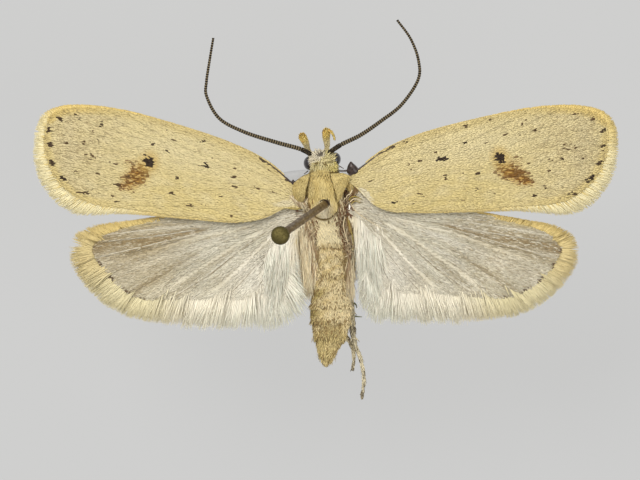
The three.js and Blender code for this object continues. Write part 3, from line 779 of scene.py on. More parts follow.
class Wing:
    """One wing: where its points lie on the body, its outlines, its lie of scales and its colours."""

    def __init__(self, kind, side):
        self.kind, self.side = kind, side
        self.name = f"{kind}_{side}"
        self.sign = SIDES[side]["sign"]
        self.hinge = SIDES[side][kind]["hinge"]
        self.sweep = math.radians(SIDES[side][kind]["sweep"])
        fore = kind == "forewing"
        self.level = FOREWING_LEVEL if fore else HINDWING_LEVEL
        edges = FOREWING_MEMBRANE if fore else HINDWING_MEMBRANE
        lobe = FOREWING_LOBE[side] if fore else []
        amount = 0 if fore else HINDWING_DRAWN_IN[side]
        self.front = Curve(drawn_in(edges["front"], amount))
        self.rear = Curve(drawn_in([*lobe, *edges["rear"]], amount))
        outer_front = FOREWING_FRONT if fore else HINDWING_FRONT
        outer_rear = FOREWING_REAR if fore else hindwing_rear(SIDES[side]["inner_corner"])
        self.outline = closed_edge(Curve(outer_front), Curve(outer_rear))
        self.edge = closed_edge(self.front, self.rear)
        steps = np.linspace(0, 1, 14)
        self.veins = [Curve(v).at(steps) for v in (FOREWING_VEINS if fore else HINDWING_VEINS)]
        self.folds = [Curve(f).at(steps) for f in (FOREWING_FOLDS if fore else HINDWING_FOLDS)]

    def relief(self, x, y):
        """Height of the membrane's veins, folds and slow waves."""
        form = RELIEF[self.kind]
        height = form["wave"] * mottle(x, y, 1.6, 11 + self.sign)
        tall, wide = form["vein"]
        for line in self.veins:
            gap, share = nearest(x, y, line)
            height += tall * bump(gap, 0, wide) * smooth(0.02, 0.2, share)
        deep, wide = form["fold"]
        for line in self.folds:
            gap, share = nearest(x, y, line)
            height -= deep * bump(gap, 0, wide) * smooth(0.05, 0.3, share) * smooth(1, 0.8, share)
        return height

    def place(self, x, y, above=0.0):
        """The body points of wing points, so far above the membrane's middle."""
        body_x = self.hinge[0] + self.sign * (x * math.cos(self.sweep) - y * math.sin(self.sweep))
        body_y = self.hinge[1] + x * math.sin(self.sweep) + y * math.cos(self.sweep)
        out = np.maximum(np.abs(body_x) - WING_ROOT, 0)
        lift = out * WING_LIFT + WING_CAMBER * np.sin(math.pi * out / (HALF_SPAN - WING_ROOT))
        return np.stack([body_x, body_y, self.level + lift + self.relief(x, y) + above], -1)

    def lie(self, x, y):
        """The flat direction in which the scales point: out from near the hinge."""
        if self.kind == "forewing":
            return unit(np.stack([x + 6.0, 1.1 * y - 0.1 * np.maximum(x - 6, 0)], -1))
        return unit(np.stack([x + 0.75, y + 0.02 * x], -1))

    def axes(self, x, y, way):
        """Body directions of a flat direction and of the upright, at wing points."""
        step = 0.02
        here = self.place(x, y)
        along = unit(self.place(x + way[:, 0] * step, y + way[:, 1] * step) - here)
        across = self.place(x - way[:, 1] * step, y + way[:, 0] * step) - here
        up = unit(np.cross(along, across)) * self.sign
        return here, along, up

    def map_place(self, x, y, under=False):
        """A place on the map of the wing: its upper side fills one half, its underside the other."""
        u = (x + 0.5) / 10.5 * 0.48 + (0.51 if under else 0.01)
        return np.stack([u, on_map((y + 4.2) / 5.6)], -1)

    def colour(self, x, y, dice=None):
        """The markings: mixed evenly for the skin, or one draw for each scale where dice are given."""
        return (forewing_colour if self.kind == "forewing" else hindwing_colour)(self, x, y, dice)


def drawn(colour, other, share, dice, strength=0.92):
    """Another colour on a share of the scales, or mixed in by that share where there are no dice."""
    if dice is None:
        return blend(colour, other, share * strength)
    return blend(colour, other, np.where(dice.random(len(share)) < share, strength, 0.0))


def forewing_colour(wing, x, y, dice):
    """A straw ground, hazy towards the tip, with a reddish cloud, dark marks and a golden hem."""
    front_gap = nearest(x, y, wing.front.at(np.linspace(0, 1, 60)))[0]
    rear_gap = nearest(x, y, wing.rear.at(np.linspace(0, 1, 60)))[0]
    outer = smooth(5.8, 8.2, x)
    colour = layered(
        even(STRAW, len(x)),
        (STRAW_WARM, smooth(0.1, -1.6, y) * smooth(6.6, 4.0, x)),
        (STRAW_PALE, 0.55 * bump(x, 4.6, 2.2) * bump(y, 0.25, 0.55)),
        (STRAW_GREY, 0.65 * outer * (0.75 + 0.35 * mottle(x, y, 0.7, 3))),
        (STRAW_PALE, 0.3 * mottle(x, 1.6 * y, 0.5, 5)),
        (STRAW_GREY, 0.3 * mottle(0.3 * x, y, 0.16, 6)),
        (COSTA_TAN, 0.75 * smooth(0.34, 0.03, front_gap)),
        (APEX_GOLD, 0.8 * smooth(6.4, 8.4, x) * smooth(0.3, 0.05, front_gap)),
        (MARGIN_GOLD, 0.8 * smooth(0.34, 0.1, rear_gap) * smooth(5.0, 7.2, x)),
        (COSTA_TAN, 0.3 * smooth(0.3, 0.05, rear_gap) * smooth(6.0, 3.0, x)),
    )
    haze = 0.16 * outer + 0.16 * bump(x, 7.7, 0.8) * bump(y, -0.6, 0.6) + 0.012
    colour = drawn(colour, HAZE_BROWN, haze * (1 + 0.9 * mottle(x, y, 0.25, 7)), dice, 0.43)
    # Painted highlight near the hinge.
    colour = blend(colour, SATIN_PALE, blot(x, y, FOREWING_PAINTED_GLEAM[wing.side]))
    for mark in FOREWING_CLOUD[wing.side]:
        strength = blot(x, y, mark, soft=0.6) * (0.85 + 0.3 * mottle(x, y, 0.12, 8))
        colour = blend(colour, CLOUD_TAN, 0.75 * strength)
        colour = drawn(colour, CLOUD_BROWN, 0.76 * strength, dice, 0.75)
    for mark in FOREWING_MARKS[wing.side]:
        middle_x, middle_y, half_length, half_width, turn, strength = mark
        if half_width > HALO_MARK and strength == 1:
            halo = (middle_x, middle_y, HALO_SIZE * half_length, HALO_SIZE * half_width, turn, HALO_STRENGTH)
            colour = blend(colour, MARK_HALO, blot(x, y, halo, soft=0.6))
        dark = blend(SPECK_DARK, MARK_DARK, (strength - 0.6) / 0.35)
        colour = drawn(colour, dark, blot(x, y, mark, ragged=0.3), dice, 0.97)
    root = smooth(0.075, 0.03, front_gap) * smooth(2.4, 0.4, x)
    return drawn(colour, ROOT_DARK, root, dice)


def hindwing_bands(x, y, broad_strength):
    """The hindwing's light and dark bands, painted light and shade, as layers of colour."""
    grain = 1 + 0.2 * mottle(0.3 * x, y + 0.2 * x, 0.12, 17)
    layers = []
    for tone, strength, start, end, points in HINDWING_BANDS:
        gap, share = nearest(x, y, Curve(points).at(np.linspace(0, 1, 20)))
        band = bump(gap, 0, start + (end - start) * share) * smooth(0, 0.15, share)
        weak = broad_strength if tone == "pale" and end > BROAD_BAND else 1.0
        layers.append((SATIN_PALE if tone == "pale" else SATIN_DARK, weak * strength * band * grain))
    return layers


def hindwing_colour(wing, x, y, dice):
    """Grey satin: fine streaks, creases and bands along the folds as painted sheen and shade, painted glints,
    a white inner part and a warm outer half.
    """
    tones = HINDWING_TONES[wing.side]
    rear_gap, along = nearest(x, y, wing.rear.at(np.linspace(0, 1, 80)))
    angle, far = np.arctan2(y - 0.1, x + 0.35), np.hypot(x + 0.35, y - 0.1)
    # Streaks and creases along rays from the root: painted sheen and shade of the fine pleats.
    streak = mottle(30 * angle, 0.5 * far, 1.1, 71 + wing.sign) * smooth(0.2, 1.0, far)
    creases = bump(mottle(44 * angle, 0.35 * far, 1.6, 75 + wing.sign), 0.1, 0.07) * smooth(0.6, 1.6, far)
    colour = layered(
        even(SATIN, len(x)),
        (SATIN_WARM, 0.7 * smooth(1.6, 0.1, x)),
        (SATIN_DARK, tones["shade"] * smooth(2.8, 6.0, x) * smooth(-2.9, -0.9, y)),
        *hindwing_bands(x, y, tones["bands"]),
        (SATIN_DARK, 0.16 * np.clip(streak, 0, 1.2)),
        (SATIN_PALE, 0.34 * np.clip(-streak, 0, 1.2)),
        (SATIN_DARK, 0.42 * creases),
    )
    # Single pale scales as painted glints, then single dark scales.
    colour = drawn(colour, SATIN_PALE, 0.1 + 0.16 * smooth(2.5, 5.0, x), dice, tones["pale"])
    colour = drawn(colour, SATIN_DARK, 0.07 + 0.15 * smooth(3.0, 5.0, x), dice, tones["dark"])
    warm = tones["warm"] * (smooth(3.2, 5.6, x) * smooth(0.25, -0.3, y))
    colour = layered(
        colour * blend(np.ones((len(x), 3)), WARM_FILTER, warm),
        (SATIN_PALE, 0.75 * smooth(1.7, 0.8, x) * smooth(-0.5, -1.2, y)),
        (HINDWING_WHITE, 0.7 * smooth(3.3, 1.6, x) * smooth(-0.8, -1.9, y)),
        (SATIN_PALE, 0.25 * smooth(1.4, 0.5, x) * smooth(-0.6, 0.1, y)),
    )
    root = smooth(0.75, 0.2, x) * smooth(-0.7, -0.1, y)
    colour = drawn(colour, RIM_OLIVE, 0.2 * root * (1 + 0.8 * mottle(x, y, 0.15, 81)), dice, 0.6)
    # Painted shade in the gap beside the body at the wing's root.
    root_shade = tones["root_shade"] * smooth(0.04, -0.1, x + 0.1 * mottle(x, y, 0.2, 82))
    colour = drawn(colour, CAVITY_SHADE_BROWN, root_shade, dice)
    hem = smooth(0.5, 0.0, rear_gap + 0.1 * mottle(x, y, 0.3, 83))
    colour = layered(
        colour,
        (OCHRE, 0.75 * smooth(4.4, 6.2, x) * smooth(-0.02, 0.14, y)),
        (FRINGE_SILK, 0.6 * (hem * smooth(5.0, 3.4, x) * smooth(0.4, 1.2, x))),
    )
    dots = smooth(0.1, 0.03, rear_gap) * smooth(5.4, 6.2, x) * smooth(-0.2, 0.6, np.sin(along * 95))
    return drawn(colour, SPECK_DARK, 0.75 * dots, dice)


def membrane(wing):
    """The wing's skin: a thin closed plate between its front and rear edges, with veins and folds."""
    rows, columns = 97, 33
    u, v = np.meshgrid(np.linspace(0, 1, rows), np.linspace(0, 1, columns), indexing="ij")
    rear, front = wing.rear.at(u.ravel()), wing.front.at(u.ravel())
    x, y = (rear + (front - rear) * v.ravel()[:, None]).T
    top, bottom = wing.place(x, y, MEMBRANE / 2), wing.place(x, y, -MEMBRANE / 2)
    return plate(top, bottom, rows, columns, wing.colour(x, y) * MEMBRANE_SHADE)


def wing_scales(wing, dice, under=False):
    """Overlapping rows of scales over one face of a wing."""
    row_gap, gap, longest, half_width = WING_SCALES["under" if under else wing.kind]
    low, high = wing.edge.min(0), wing.edge.max(0)
    x, y = np.meshgrid(np.arange(low[0], high[0], row_gap), np.arange(low[1], high[1], gap), indexing="ij")
    y = y + (np.arange(len(x)) % 2)[:, None] * gap / 2
    x = x.ravel() + dice.normal(0, 0.25 * row_gap, x.size)
    y = y.ravel() + dice.normal(0, 0.22 * gap, y.size)
    kept = inside(x, y, wing.edge)
    x, y = x[kept], y[kept]
    way = wing.lie(x, y)
    turn = dice.normal(0, 0.1, len(x))
    way = np.stack([
        way[:, 0] * np.cos(turn) - way[:, 1] * np.sin(turn),
        way[:, 0] * np.sin(turn) + way[:, 1] * np.cos(turn),
    ], -1)
    here, along, up = wing.axes(x, y, way)
    if under:
        up = -up
    length = longest * dice.uniform(0.85, 1.2, len(x))
    tip_x, tip_y = (np.stack([x, y], -1) + way * length[:, None]).T
    length = np.where(inside(tip_x, tip_y, wing.edge[::3]), length, 0.4 * length)
    middle_x, middle_y = (np.stack([x, y], -1) + way * (0.6 * length)[:, None]).T
    colour = wing.colour(middle_x, middle_y, dice)
    if under:
        colour = blend(colour, SATIN, 0.35)
    colour = colour * dice.normal(1.0, 0.022 if wing.kind == "forewing" else 0.02, (len(x), 1))
    raised = dice.gamma(2.0, 0.5, len(x))
    return blades(
        here + up * (MEMBRANE / 2 + 0.002), along, up, length,
        half_width * dice.uniform(0.8, 1.2, len(x)), colour, wing.map_place(x, y, under),
        rise=0.028 + 0.01 * raised, curl=-0.015, thick=0.04, shade=(0.99, 1.0, 1.01),
    )


# A band no wider than this at its end is a bare vein, which stands up from the scales as a thread.
VEIN_WIDTH = 0.025
VEIN_RADIUS = 0.01


def bare_veins(wing):
    """The thin veins of a hindwing that show between its scales, pale above and dark in their lee."""
    share = np.linspace(0.0, 1.0, 41)
    radius = VEIN_RADIUS * np.sin(math.pi * (0.04 + 0.92 * share)) ** 0.5
    parts = []
    for tone, _, _, end, points in HINDWING_BANDS:
        if end > VEIN_WIDTH:
            continue
        x, y = Curve(points).at(share).T
        tint = 0.86 * SATIN_PALE if tone == "pale" else 0.62 * SATIN_DARK
        path = Curve(wing.place(x, y, 0.024 if tone == "pale" else 0.02), steps=2)
        parts.append(tube(path, share, radius, even(tint, len(share)), sides=6))
    return join(parts)


def margin_roots(wing, count, dice):
    """Places along the margin from the hinge end of the rear edge, round the tip, to the front edge."""
    share = dice.random(count)
    outline = wing.edge[::-1]
    steps = np.linalg.norm(np.diff(outline, axis=0), axis=1)
    travelled = np.concatenate([[0], np.cumsum(steps)])
    at = share * travelled[-1]
    points = np.stack([np.interp(at, travelled, c) for c in outline.T], -1)
    ahead = np.stack([np.interp(at + 0.05, travelled, c) for c in outline.T], -1)
    behind = np.stack([np.interp(at - 0.05, travelled, c) for c in outline.T], -1)
    edge_way = unit(ahead - behind)
    return points, np.stack([edge_way[:, 1], -edge_way[:, 0]], -1)


def fringe_colour(wing, x, y, tip_y, reached):
    """Golden towards the tip and creamy or silky inwards, by the roots' places and how far hairs reach."""
    if wing.kind == "forewing":
        creamy = smooth(0.6, -0.4, y) if wing.side == "left" else smooth(-0.1, -1.3, y)
        return layered(
            even(MARGIN_GOLD, len(x)),
            (APEX_GOLD, 0.8 * smooth(-0.2, 0.5, y)),
            (FRINGE_CREAM, 0.85 * smooth(0.45, 0.9, reached) * creamy),
            (COSTA_TAN, smooth(6.5, 4.5, x)),
        )
    inner = smooth(-0.8, -1.4, y)
    return layered(
        even(OCHRE, len(x)),
        (APEX_GOLD, 0.7 * smooth(-0.7, 0.0, y)),
        (FRINGE_CREAM, 0.85 * smooth(-1.1, -2.5, tip_y)),
        (FRINGE_SILK, smooth(5.9, 3.6, x) * inner),
        (HINDWING_WHITE, 0.85 * smooth(3.4, 1.2, x) * inner),
        (FRINGE_BODY, 0.4 * smooth(0.7, 0.1, x) * inner),
    )


def fringe(wing, dice, count):
    """Long narrow scales from the margin out to the wing's outline."""
    fore = wing.kind == "forewing"
    points, out = margin_roots(wing, count, dice)
    lie = wing.lie(points[:, 0], points[:, 1])
    way = unit(out + lie * (0.75 if fore else 0.5) + dice.normal(0, 0.07, out.shape))
    depth = np.where(points[:, 1] < -1.2, 0.05 if fore else 0.16, 0.05)
    points = points - out * (depth * np.abs(dice.normal(0, 1, len(points))))[:, None]
    far = reach(points, way, wing.outline)
    bare = np.where(points[:, 1] < 0, 1.7, 0.6) if fore else 0.25
    kept = (far > 0.05) & (far < 2.2) & (points[:, 0] > bare)
    points, way, far = points[kept], way[kept], far[kept]
    wisp = 0.5 + 0.5 * mottle(points[:, 0], points[:, 1], 0.35, 51 + wing.sign)
    ragged = 0.0 if fore else smooth(5.0, 4.0, points[:, 0]) * smooth(-1.5, -2.2, points[:, 1])
    share = 1.02 + 0.12 * ragged - np.abs(dice.normal(0, 0.1, len(far))) - (0.06 + 0.16 * ragged) * wisp
    share = np.where(dice.random(len(far)) < 0.4, share * dice.uniform(0.4, 0.9, len(far)), share)
    length = np.clip(far * np.clip(share, 0.1, 1 + 0.1 * ragged), 0.06, None)
    x, y = points.T
    tip_y = y + way[:, 1] * length
    colour = fringe_colour(wing, x, y, tip_y, np.clip(length / np.maximum(far, 0.05), 0, 1))
    colour = colour * ((1.18 if fore else 1.1) * dice.normal(1, 0.02, len(x)))[:, None]
    here, along, up = wing.axes(x, y, way)
    return blades(
        here, along, up, length, np.where(length < 0.25, 0.028, 0.021) * dice.uniform(0.8, 1.3, len(x)),
        colour, wing.map_place(x, y), shape=HAIR, rise=dice.normal(0.01, 0.015, len(x)), thick=0.06,
        curl=dice.normal(-0.01, 0.02, len(x)), sway=dice.normal(0, 0.05, len(x)), shade=(0.94, 1.0, 1.05),
    )


def inner_hairs(wing, dice, count):
    """Long silky hairs over the hindwing's inner part, beside the body."""
    v = dice.random(count) ** 0.8
    x = -0.2 + 1.1 * v + 0.3 * dice.random(count) * v
    y = -0.35 - 2.3 * dice.random(count) ** 0.9
    kept = inside(x, y, wing.edge) & (y < -0.15 - 0.4 * x)
    x, y = x[kept], y[kept]
    way = unit(np.stack([0.06 + 0.22 * x + dice.normal(0, 0.05, len(x)), -np.ones(len(x))], -1))
    far = reach(np.stack([x, y], -1), way, wing.outline)
    length = np.minimum(far * dice.uniform(0.75, 1.0, len(x)), dice.uniform(0.7, 1.6, len(x)))
    length = np.maximum(length, 0.12)
    colour = blend(even(FRINGE_BODY, len(x)), HINDWING_WHITE, smooth(0.0, 0.5, x))
    colour = colour * dice.normal(1.1, 0.03, (len(x), 1))
    here, along, up = wing.axes(x, y, way)
    return blades(
        here + up * 0.02, along, up, length, 0.017 * dice.uniform(0.7, 1.2, len(x)), colour,
        wing.map_place(x, y), shape=HAIR, rise=0.04 + 0.03 * dice.random(len(x)), curl=-0.04,
        sway=dice.normal(0, 0.05, len(x)), thick=0.12, shade=(0.95, 1.0, 1.04),
    )


def make_wings(skin, coat, silk):
    """The four wings: skin, scales above and below, veins and fringe."""
    for side in SIDES:
        for kind in ("forewing", "hindwing"):
            wing = Wing(kind, side)
            new_piece(f"membrane_{wing.name}", membrane(wing), skin, [wing.name])
            new_piece(f"scales_{wing.name}", wing_scales(wing, rng), coat[kind])
            new_piece(f"underscales_{wing.name}", wing_scales(wing, rng, under=True), coat[kind])
            hairs = [fringe(wing, rng, FRINGE_COUNTS[kind])]
            if kind == "hindwing":
                hairs.append(inner_hairs(wing, rng, INNER_HAIRS))
                new_piece(f"veins_{wing.name}", bare_veins(wing), skin)
            new_piece(f"fringe_{wing.name}", join(hairs), silk)


# ---------------------------------------------------------------- body

# Stations of the skin of head, neck, thorax, waist and abdomen: y, middle x and z, half width, half height.
BODY = [
    (2.67, -0.08, -0.05, 0.0, 0.0), (2.6, -0.08, -0.05, 0.3, 0.25), (2.42, -0.09, -0.03, 0.44, 0.37),
    (2.2, -0.06, -0.02, 0.46, 0.42), (2.02, -0.02, -0.01, 0.5, 0.4), (1.88, -0.04, 0.0, 0.53, 0.42),
    (1.66, -0.14, -0.02, 0.53, 0.52), (1.4, -0.1, -0.06, 0.66, 0.64), (1.1, -0.06, -0.1, 0.72, 0.72),
    (0.6, 0.0, -0.13, 0.75, 0.76), (0.2, 0.04, -0.16, 0.66, 0.64), (-0.08, 0.1, -0.18, 0.58, 0.48),
    (-0.4, 0.18, -0.17, 0.6, 0.45), (-0.8, 0.24, -0.16, 0.58, 0.4), (-1.33, 0.23, -0.15, 0.61, 0.4),
    (-1.87, 0.23, -0.14, 0.58, 0.4), (-2.4, 0.2, -0.14, 0.66, 0.41), (-3.12, 0.22, -0.14, 0.74, 0.41),
    (-3.77, 0.2, -0.14, 0.64, 0.38), (-4.2, 0.16, -0.14, 0.5, 0.33), (-4.56, 0.09, -0.14, 0.32, 0.25),
    (-4.8, 0.07, -0.14, 0.21, 0.17), (-4.92, 0.06, -0.14, 0.13, 0.11), (-4.98, 0.06, -0.14, 0.0, 0.0),
]
ABDOMEN_START = -0.7
# The brush at the abdomen's tip ends here.
ABDOMEN_END = -5.12
# The rows of the body's coats keep inside its two ends.
BODY_SPAN = (-4.96, 2.65)
# The body's section is a little squarer than an ellipse: the power of its sine and cosine.
SECTION_POWER = 0.82
# The mesonotum, a shield raised over the back, from its front arc round to its rim over the waist.
SHIELD = [
    (-0.5, 1.88), (-0.2, 1.98), (0.1, 1.95), (0.24, 1.84), (0.33, 1.4), (0.41, 1.0), (0.47, 0.68),
    (0.31, 0.37), (0.03, 0.2), (-0.24, 0.25), (-0.47, 0.42), (-0.63, 0.77), (-0.69, 1.05), (-0.66, 1.4),
    (-0.59, 1.72), (-0.5, 1.88),
]
SHIELD_HEIGHT = 0.1
# Creases in the abdomen's back: centre line, depth and width.
CREASES = [
    ([(-0.24, -0.85), (-0.24, -1.4), (-0.12, -1.7), (-0.12, -2.1)], 0.08, 0.06),
    ([(-0.5, -0.5), (-0.48, -1.3), (-0.42, -2.1), (-0.46, -2.6)], 0.04, 0.05),
    ([(0.02, -1.9), (0.3, -2.1), (0.62, -2.05)], 0.03, 0.05),
    ([(-0.42, -2.5), (-0.2, -2.9), (0.1, -3.0)], 0.03, 0.05),
]

HEAD_STRAW = linear(216, 202, 152)
HEAD_GOLD = linear(206, 188, 110)
HEAD_PALE = linear(224, 212, 184)
THORAX_TAN = linear(214, 192, 128)
THORAX_WARM = linear(206, 181, 112)
SHIELD_PALE = linear(230, 216, 184)
WAIST_CREAM = linear(234, 217, 172)
ABDOMEN_CREAM = linear(219, 195, 138)
ABDOMEN_PALE = linear(232, 212, 164)
ABDOMEN_BROWN = linear(138, 110, 62)
ABDOMEN_OLIVE = linear(172, 152, 86)
ABDOMEN_TIP = linear(208, 186, 122)
ABDOMEN_DUSK = linear(158, 136, 82)
UNDERSIDE = linear(224, 210, 178)
FIBRE_CREAM = linear(226, 206, 164)
# A brown for hairs that are painted shade.
FIBRE_SHADE_BROWN = linear(134, 94, 48)
# A nearly black brown: dark spots, the shield's front rim and the claws, and painted shade in the collar's
# slits and round the pin.
GAP_BROWN = linear(42, 26, 14)
LEG_CREAM = linear(216, 203, 168)
LEG_DARK = linear(112, 98, 76)
PALP_STRAW = linear(222, 206, 156)
PALP_GOLD = linear(220, 192, 104)
PALP_ORANGE = linear(216, 138, 66)
FEELER_DARK = linear(30, 23, 16)
FEELER_PALE = linear(142, 126, 94)
SPUR_OLIVE = linear(118, 120, 92)
TONGUE_BROWN = linear(126, 94, 56)
RIB_OLIVE = linear(158, 138, 62)
FLECK_WHITE = linear(244, 238, 224)
PAD_STRAW = linear(196, 172, 108)
PAD_BROWN = linear(148, 118, 78)
PAD_TAN = linear(170, 140, 92)
EYE_TINT = linear(60, 52, 50)
HORN_TINT = linear(58, 44, 36)


class BodyShape:
    """The surface of the body's skin, by how far forward and by the turn about its length."""

    def __init__(self):
        rows = [(y, x, z, w * w, h * h) for y, x, z, w, h in BODY]
        points = Curve(rows).points
        self.table = points[np.argsort(points[:, 0])]

    def section(self, y):
        """The skin's middle, as x and z, and its half width and half height, so far forward."""
        x, z, wide, tall = [np.interp(y, self.table[:, 0], self.table[:, i]) for i in range(1, 5)]
        swell = 1 + SEGMENT_STEP * np.where(y < ABDOMEN_START, ring_share(y) ** 2 - 0.4, 0)
        return x, z, np.sqrt(np.maximum(wide, 0)) * swell, np.sqrt(np.maximum(tall, 0)) * swell

    def place(self, y, turn, above=0.0):
        """Skin points, raised by above. A turn of a quarter circle is the middle of the back."""
        x, z, wide, tall = self.section(y)
        across = np.sign(np.cos(turn)) * np.abs(np.cos(turn)) ** SECTION_POWER
        upright = np.sign(np.sin(turn)) * np.abs(np.sin(turn)) ** SECTION_POWER
        flat_x = x + wide * across
        raised = SHIELD_HEIGHT * smooth(-0.01, 0.1, shield_depth(flat_x, y))
        for line, depth, width in CREASES:
            gap, share = nearest(flat_x, y, Curve(line).at(np.linspace(0, 1, 12)))
            raised = raised - depth * bump(gap, 0, width) * smooth(0, 0.2, share) * smooth(1, 0.8, share)
        raised = above + raised * smooth(0.05, 0.45, upright)
        return np.stack([x + (wide + above) * across, y + 0 * turn, z + (tall + raised) * upright], -1)

    def top(self, x, y):
        """The height of the back over flat points, or of the body's middle beside it."""
        middle, z, wide, tall = self.section(y)
        across = np.clip(np.abs(x - middle) / np.maximum(wide, 0.01), 0, 1) ** (1 / SECTION_POWER)
        return z + tall * np.sqrt(1 - across ** 2) ** SECTION_POWER

    def axes(self, y, turn):
        """Skin points, with the direction to the rear along the skin, the way round it, and its normal."""
        here = self.place(y, turn)
        rear = unit(self.place(y - 0.03, turn) - self.place(y + 0.03, turn))
        around = unit(self.place(y, turn + 0.03) - self.place(y, turn - 0.03))
        return here, rear, around, unit(np.cross(-rear, around))


shield_line = Curve(SHIELD, steps=8).points


def shield_depth(x, y):
    """How far inside the shield's outline flat points are, or how far outside it where negative."""
    gap = np.full(len(x), 1.0)
    near = np.flatnonzero((y > -0.1) & (y < 2.2))
    gap[near] = nearest(x[near], y[near], shield_line)[0]
    return np.where(inside(x, y, shield_line[:-1]), gap, -gap)


body = BodyShape()


def body_rows(start, end, row_gap, gap, dice):
    """Roots in rows round the body from start back to end, as y and turn."""
    ys, turns = [], []
    for number, y in enumerate(np.arange(start, end, -row_gap)):
        _, _, wide, tall = body.section(np.array(y))
        count = max(int(FULL_TURN * math.sqrt((wide ** 2 + tall ** 2) / 2) / gap), 3)
        turn = (np.arange(count) + 0.5 * (number % 2)) / count * FULL_TURN
        turns.append(turn + dice.normal(0, 0.25 * FULL_TURN / count, count))
        ys.append(y + dice.normal(0, 0.25 * row_gap, count))
    return np.clip(np.concatenate(ys), *BODY_SPAN), np.concatenate(turns)


def body_map(y, turn):
    """A place on the map of the body: its turn across and its length upward."""
    return np.stack([on_map((turn / FULL_TURN) % 1), on_map((y + 5.0) / 7.8)], -1)


# The flat line of the abdomen's right border, where brown is painted as the shade in the cleft beside it.
ABDOMEN_BORDER = [(0.66, -0.2), (0.8, -0.6), (0.76, -1.3), (0.78, -1.9), (0.84, -2.5)]
# Flat lines of the cavities beside the waist, where brown is painted as the shade in the gap between torn
# fibres.
CAVITIES = [
    [
        (1.04, 1.42), (0.88, 1.04), (0.7, 0.74), (0.6, 0.46), (0.55, 0.22), (0.6, -0.05), (0.7, -0.4),
        (0.82, -0.8), (0.84, -1.3),
    ],
    [(-0.74, 0.98), (-0.6, 0.66), (-0.5, 0.4), (-0.42, 0.16), (-0.45, -0.2), (-0.5, -0.7)],
]
# Dark spots of the body: x, y, half length, half width, turn in degrees, strength. The third, right of the
# pin, is a painted shadow of the pin.
BODY_SPOTS = [
    (-0.16, 2.52, 0.12, 0.07, 15, 1.0), (-0.41, -0.33, 0.08, 0.09, 0, 0.7), (0.1, 0.8, 0.06, 0.13, 20, 1.0),
    (-0.12, 1.55, 0.03, 0.05, 0, 0.6), (0.14, 1.62, 0.03, 0.03, 0, 0.4), (0.1, 1.3, 0.03, 0.12, 10, 0.3),
]
# The dark parting across the crown, as a rise to the right.
PARTING_LEVEL = 2.25
PARTING_RISE = 0.19
# How far apart the bunches of the collar's scales are.
COLLAR_BUNCH = 0.095


def parting(x, y):
    """How far in front of the crown's parting flat points are."""
    return y - PARTING_LEVEL - PARTING_RISE * x


def collar_slits(x, y):
    """Slanting gaps between the bunches of the collar, where dark is painted as shade."""
    bunch = np.sin((x + 0.45 * (y - 2.0)) * FULL_TURN / COLLAR_BUNCH)
    band = smooth(-0.1, 0.6, bunch) * smooth(1.88, 1.95, y) * smooth(2.12, 2.04, y)
    return band * smooth(0.28, 0.18, np.abs(x + 0.12))


def head_colour(x, y, up, dice):
    """Straw and gold, pale on the left of the crown, with a dark parting and painted shade in the slits of
    the collar.
    """
    pale = smooth(0.06, -0.06, x + 0.05 + 1.27 * np.maximum(2.46 - y, 0)) * smooth(-0.02, 0.02, parting(x, y))
    colour = layered(
        even(HEAD_STRAW, len(x)),
        (HEAD_GOLD, 0.3 + 0.3 * mottle(x, y, 0.2, 24)),
        (HEAD_GOLD, blot(x, y, (0.28, 2.12, 0.2, 0.14, 0, 0.8))),
        (HEAD_PALE, 0.95 * pale + smooth(2.0, 1.92, y) * smooth(-0.1, -0.25, x)),
    )
    colour = drawn(colour, RIM_OLIVE, 0.8 * bump(parting(x, y), 0, 0.022) * up, dice)
    # Painted shade in the collar's slits.
    return drawn(colour, GAP_BROWN, 0.95 * collar_slits(x, y) * up, dice)


def thorax_colour(x, y, up, dice):
    """Tan with a pale shield, which has a dark rim, and brown painted shade in the cavities beside the waist.
    """
    depth = shield_depth(x, y)
    colour = layered(
        even(THORAX_TAN, len(x)),
        (THORAX_WARM, 0.5 + 0.6 * mottle(2 * x, y, 0.5, 23)),
        (SHIELD_PALE, 0.9 * bump(x, -0.05, 0.3) * smooth(0.85, 0.7, y)),
        (WAIST_CREAM, smooth(0.0, -0.04, depth) * smooth(1.3, 0.9, y)),
    )
    colour = drawn(colour, RIM_OLIVE, 0.95 * (bump(depth, -0.02, 0.045) * smooth(1.1, 0.85, y)) * up, dice)
    colour = drawn(colour, GAP_BROWN, 0.7 * bump(depth, -0.02, 0.03) * smooth(1.6, 1.8, y) * up, dice)
    # Painted shade in the cavities beside the waist.
    for line, strength in zip(CAVITIES, (0.95, 0.55)):
        gap, _ = nearest(x, y, np.array(line))
        colour = drawn(colour, CAVITY_SHADE_BROWN, strength * bump(gap, 0, 0.15) * smooth(1.6, 1.3, y), dice)
    return colour


def ring_share(y):
    """How far places are from the front to the rear edge of their ring of the abdomen, from 0 to 1."""
    rings = (ABDOMEN_START - y) / SEGMENT_LENGTH
    return rings - np.floor(rings)


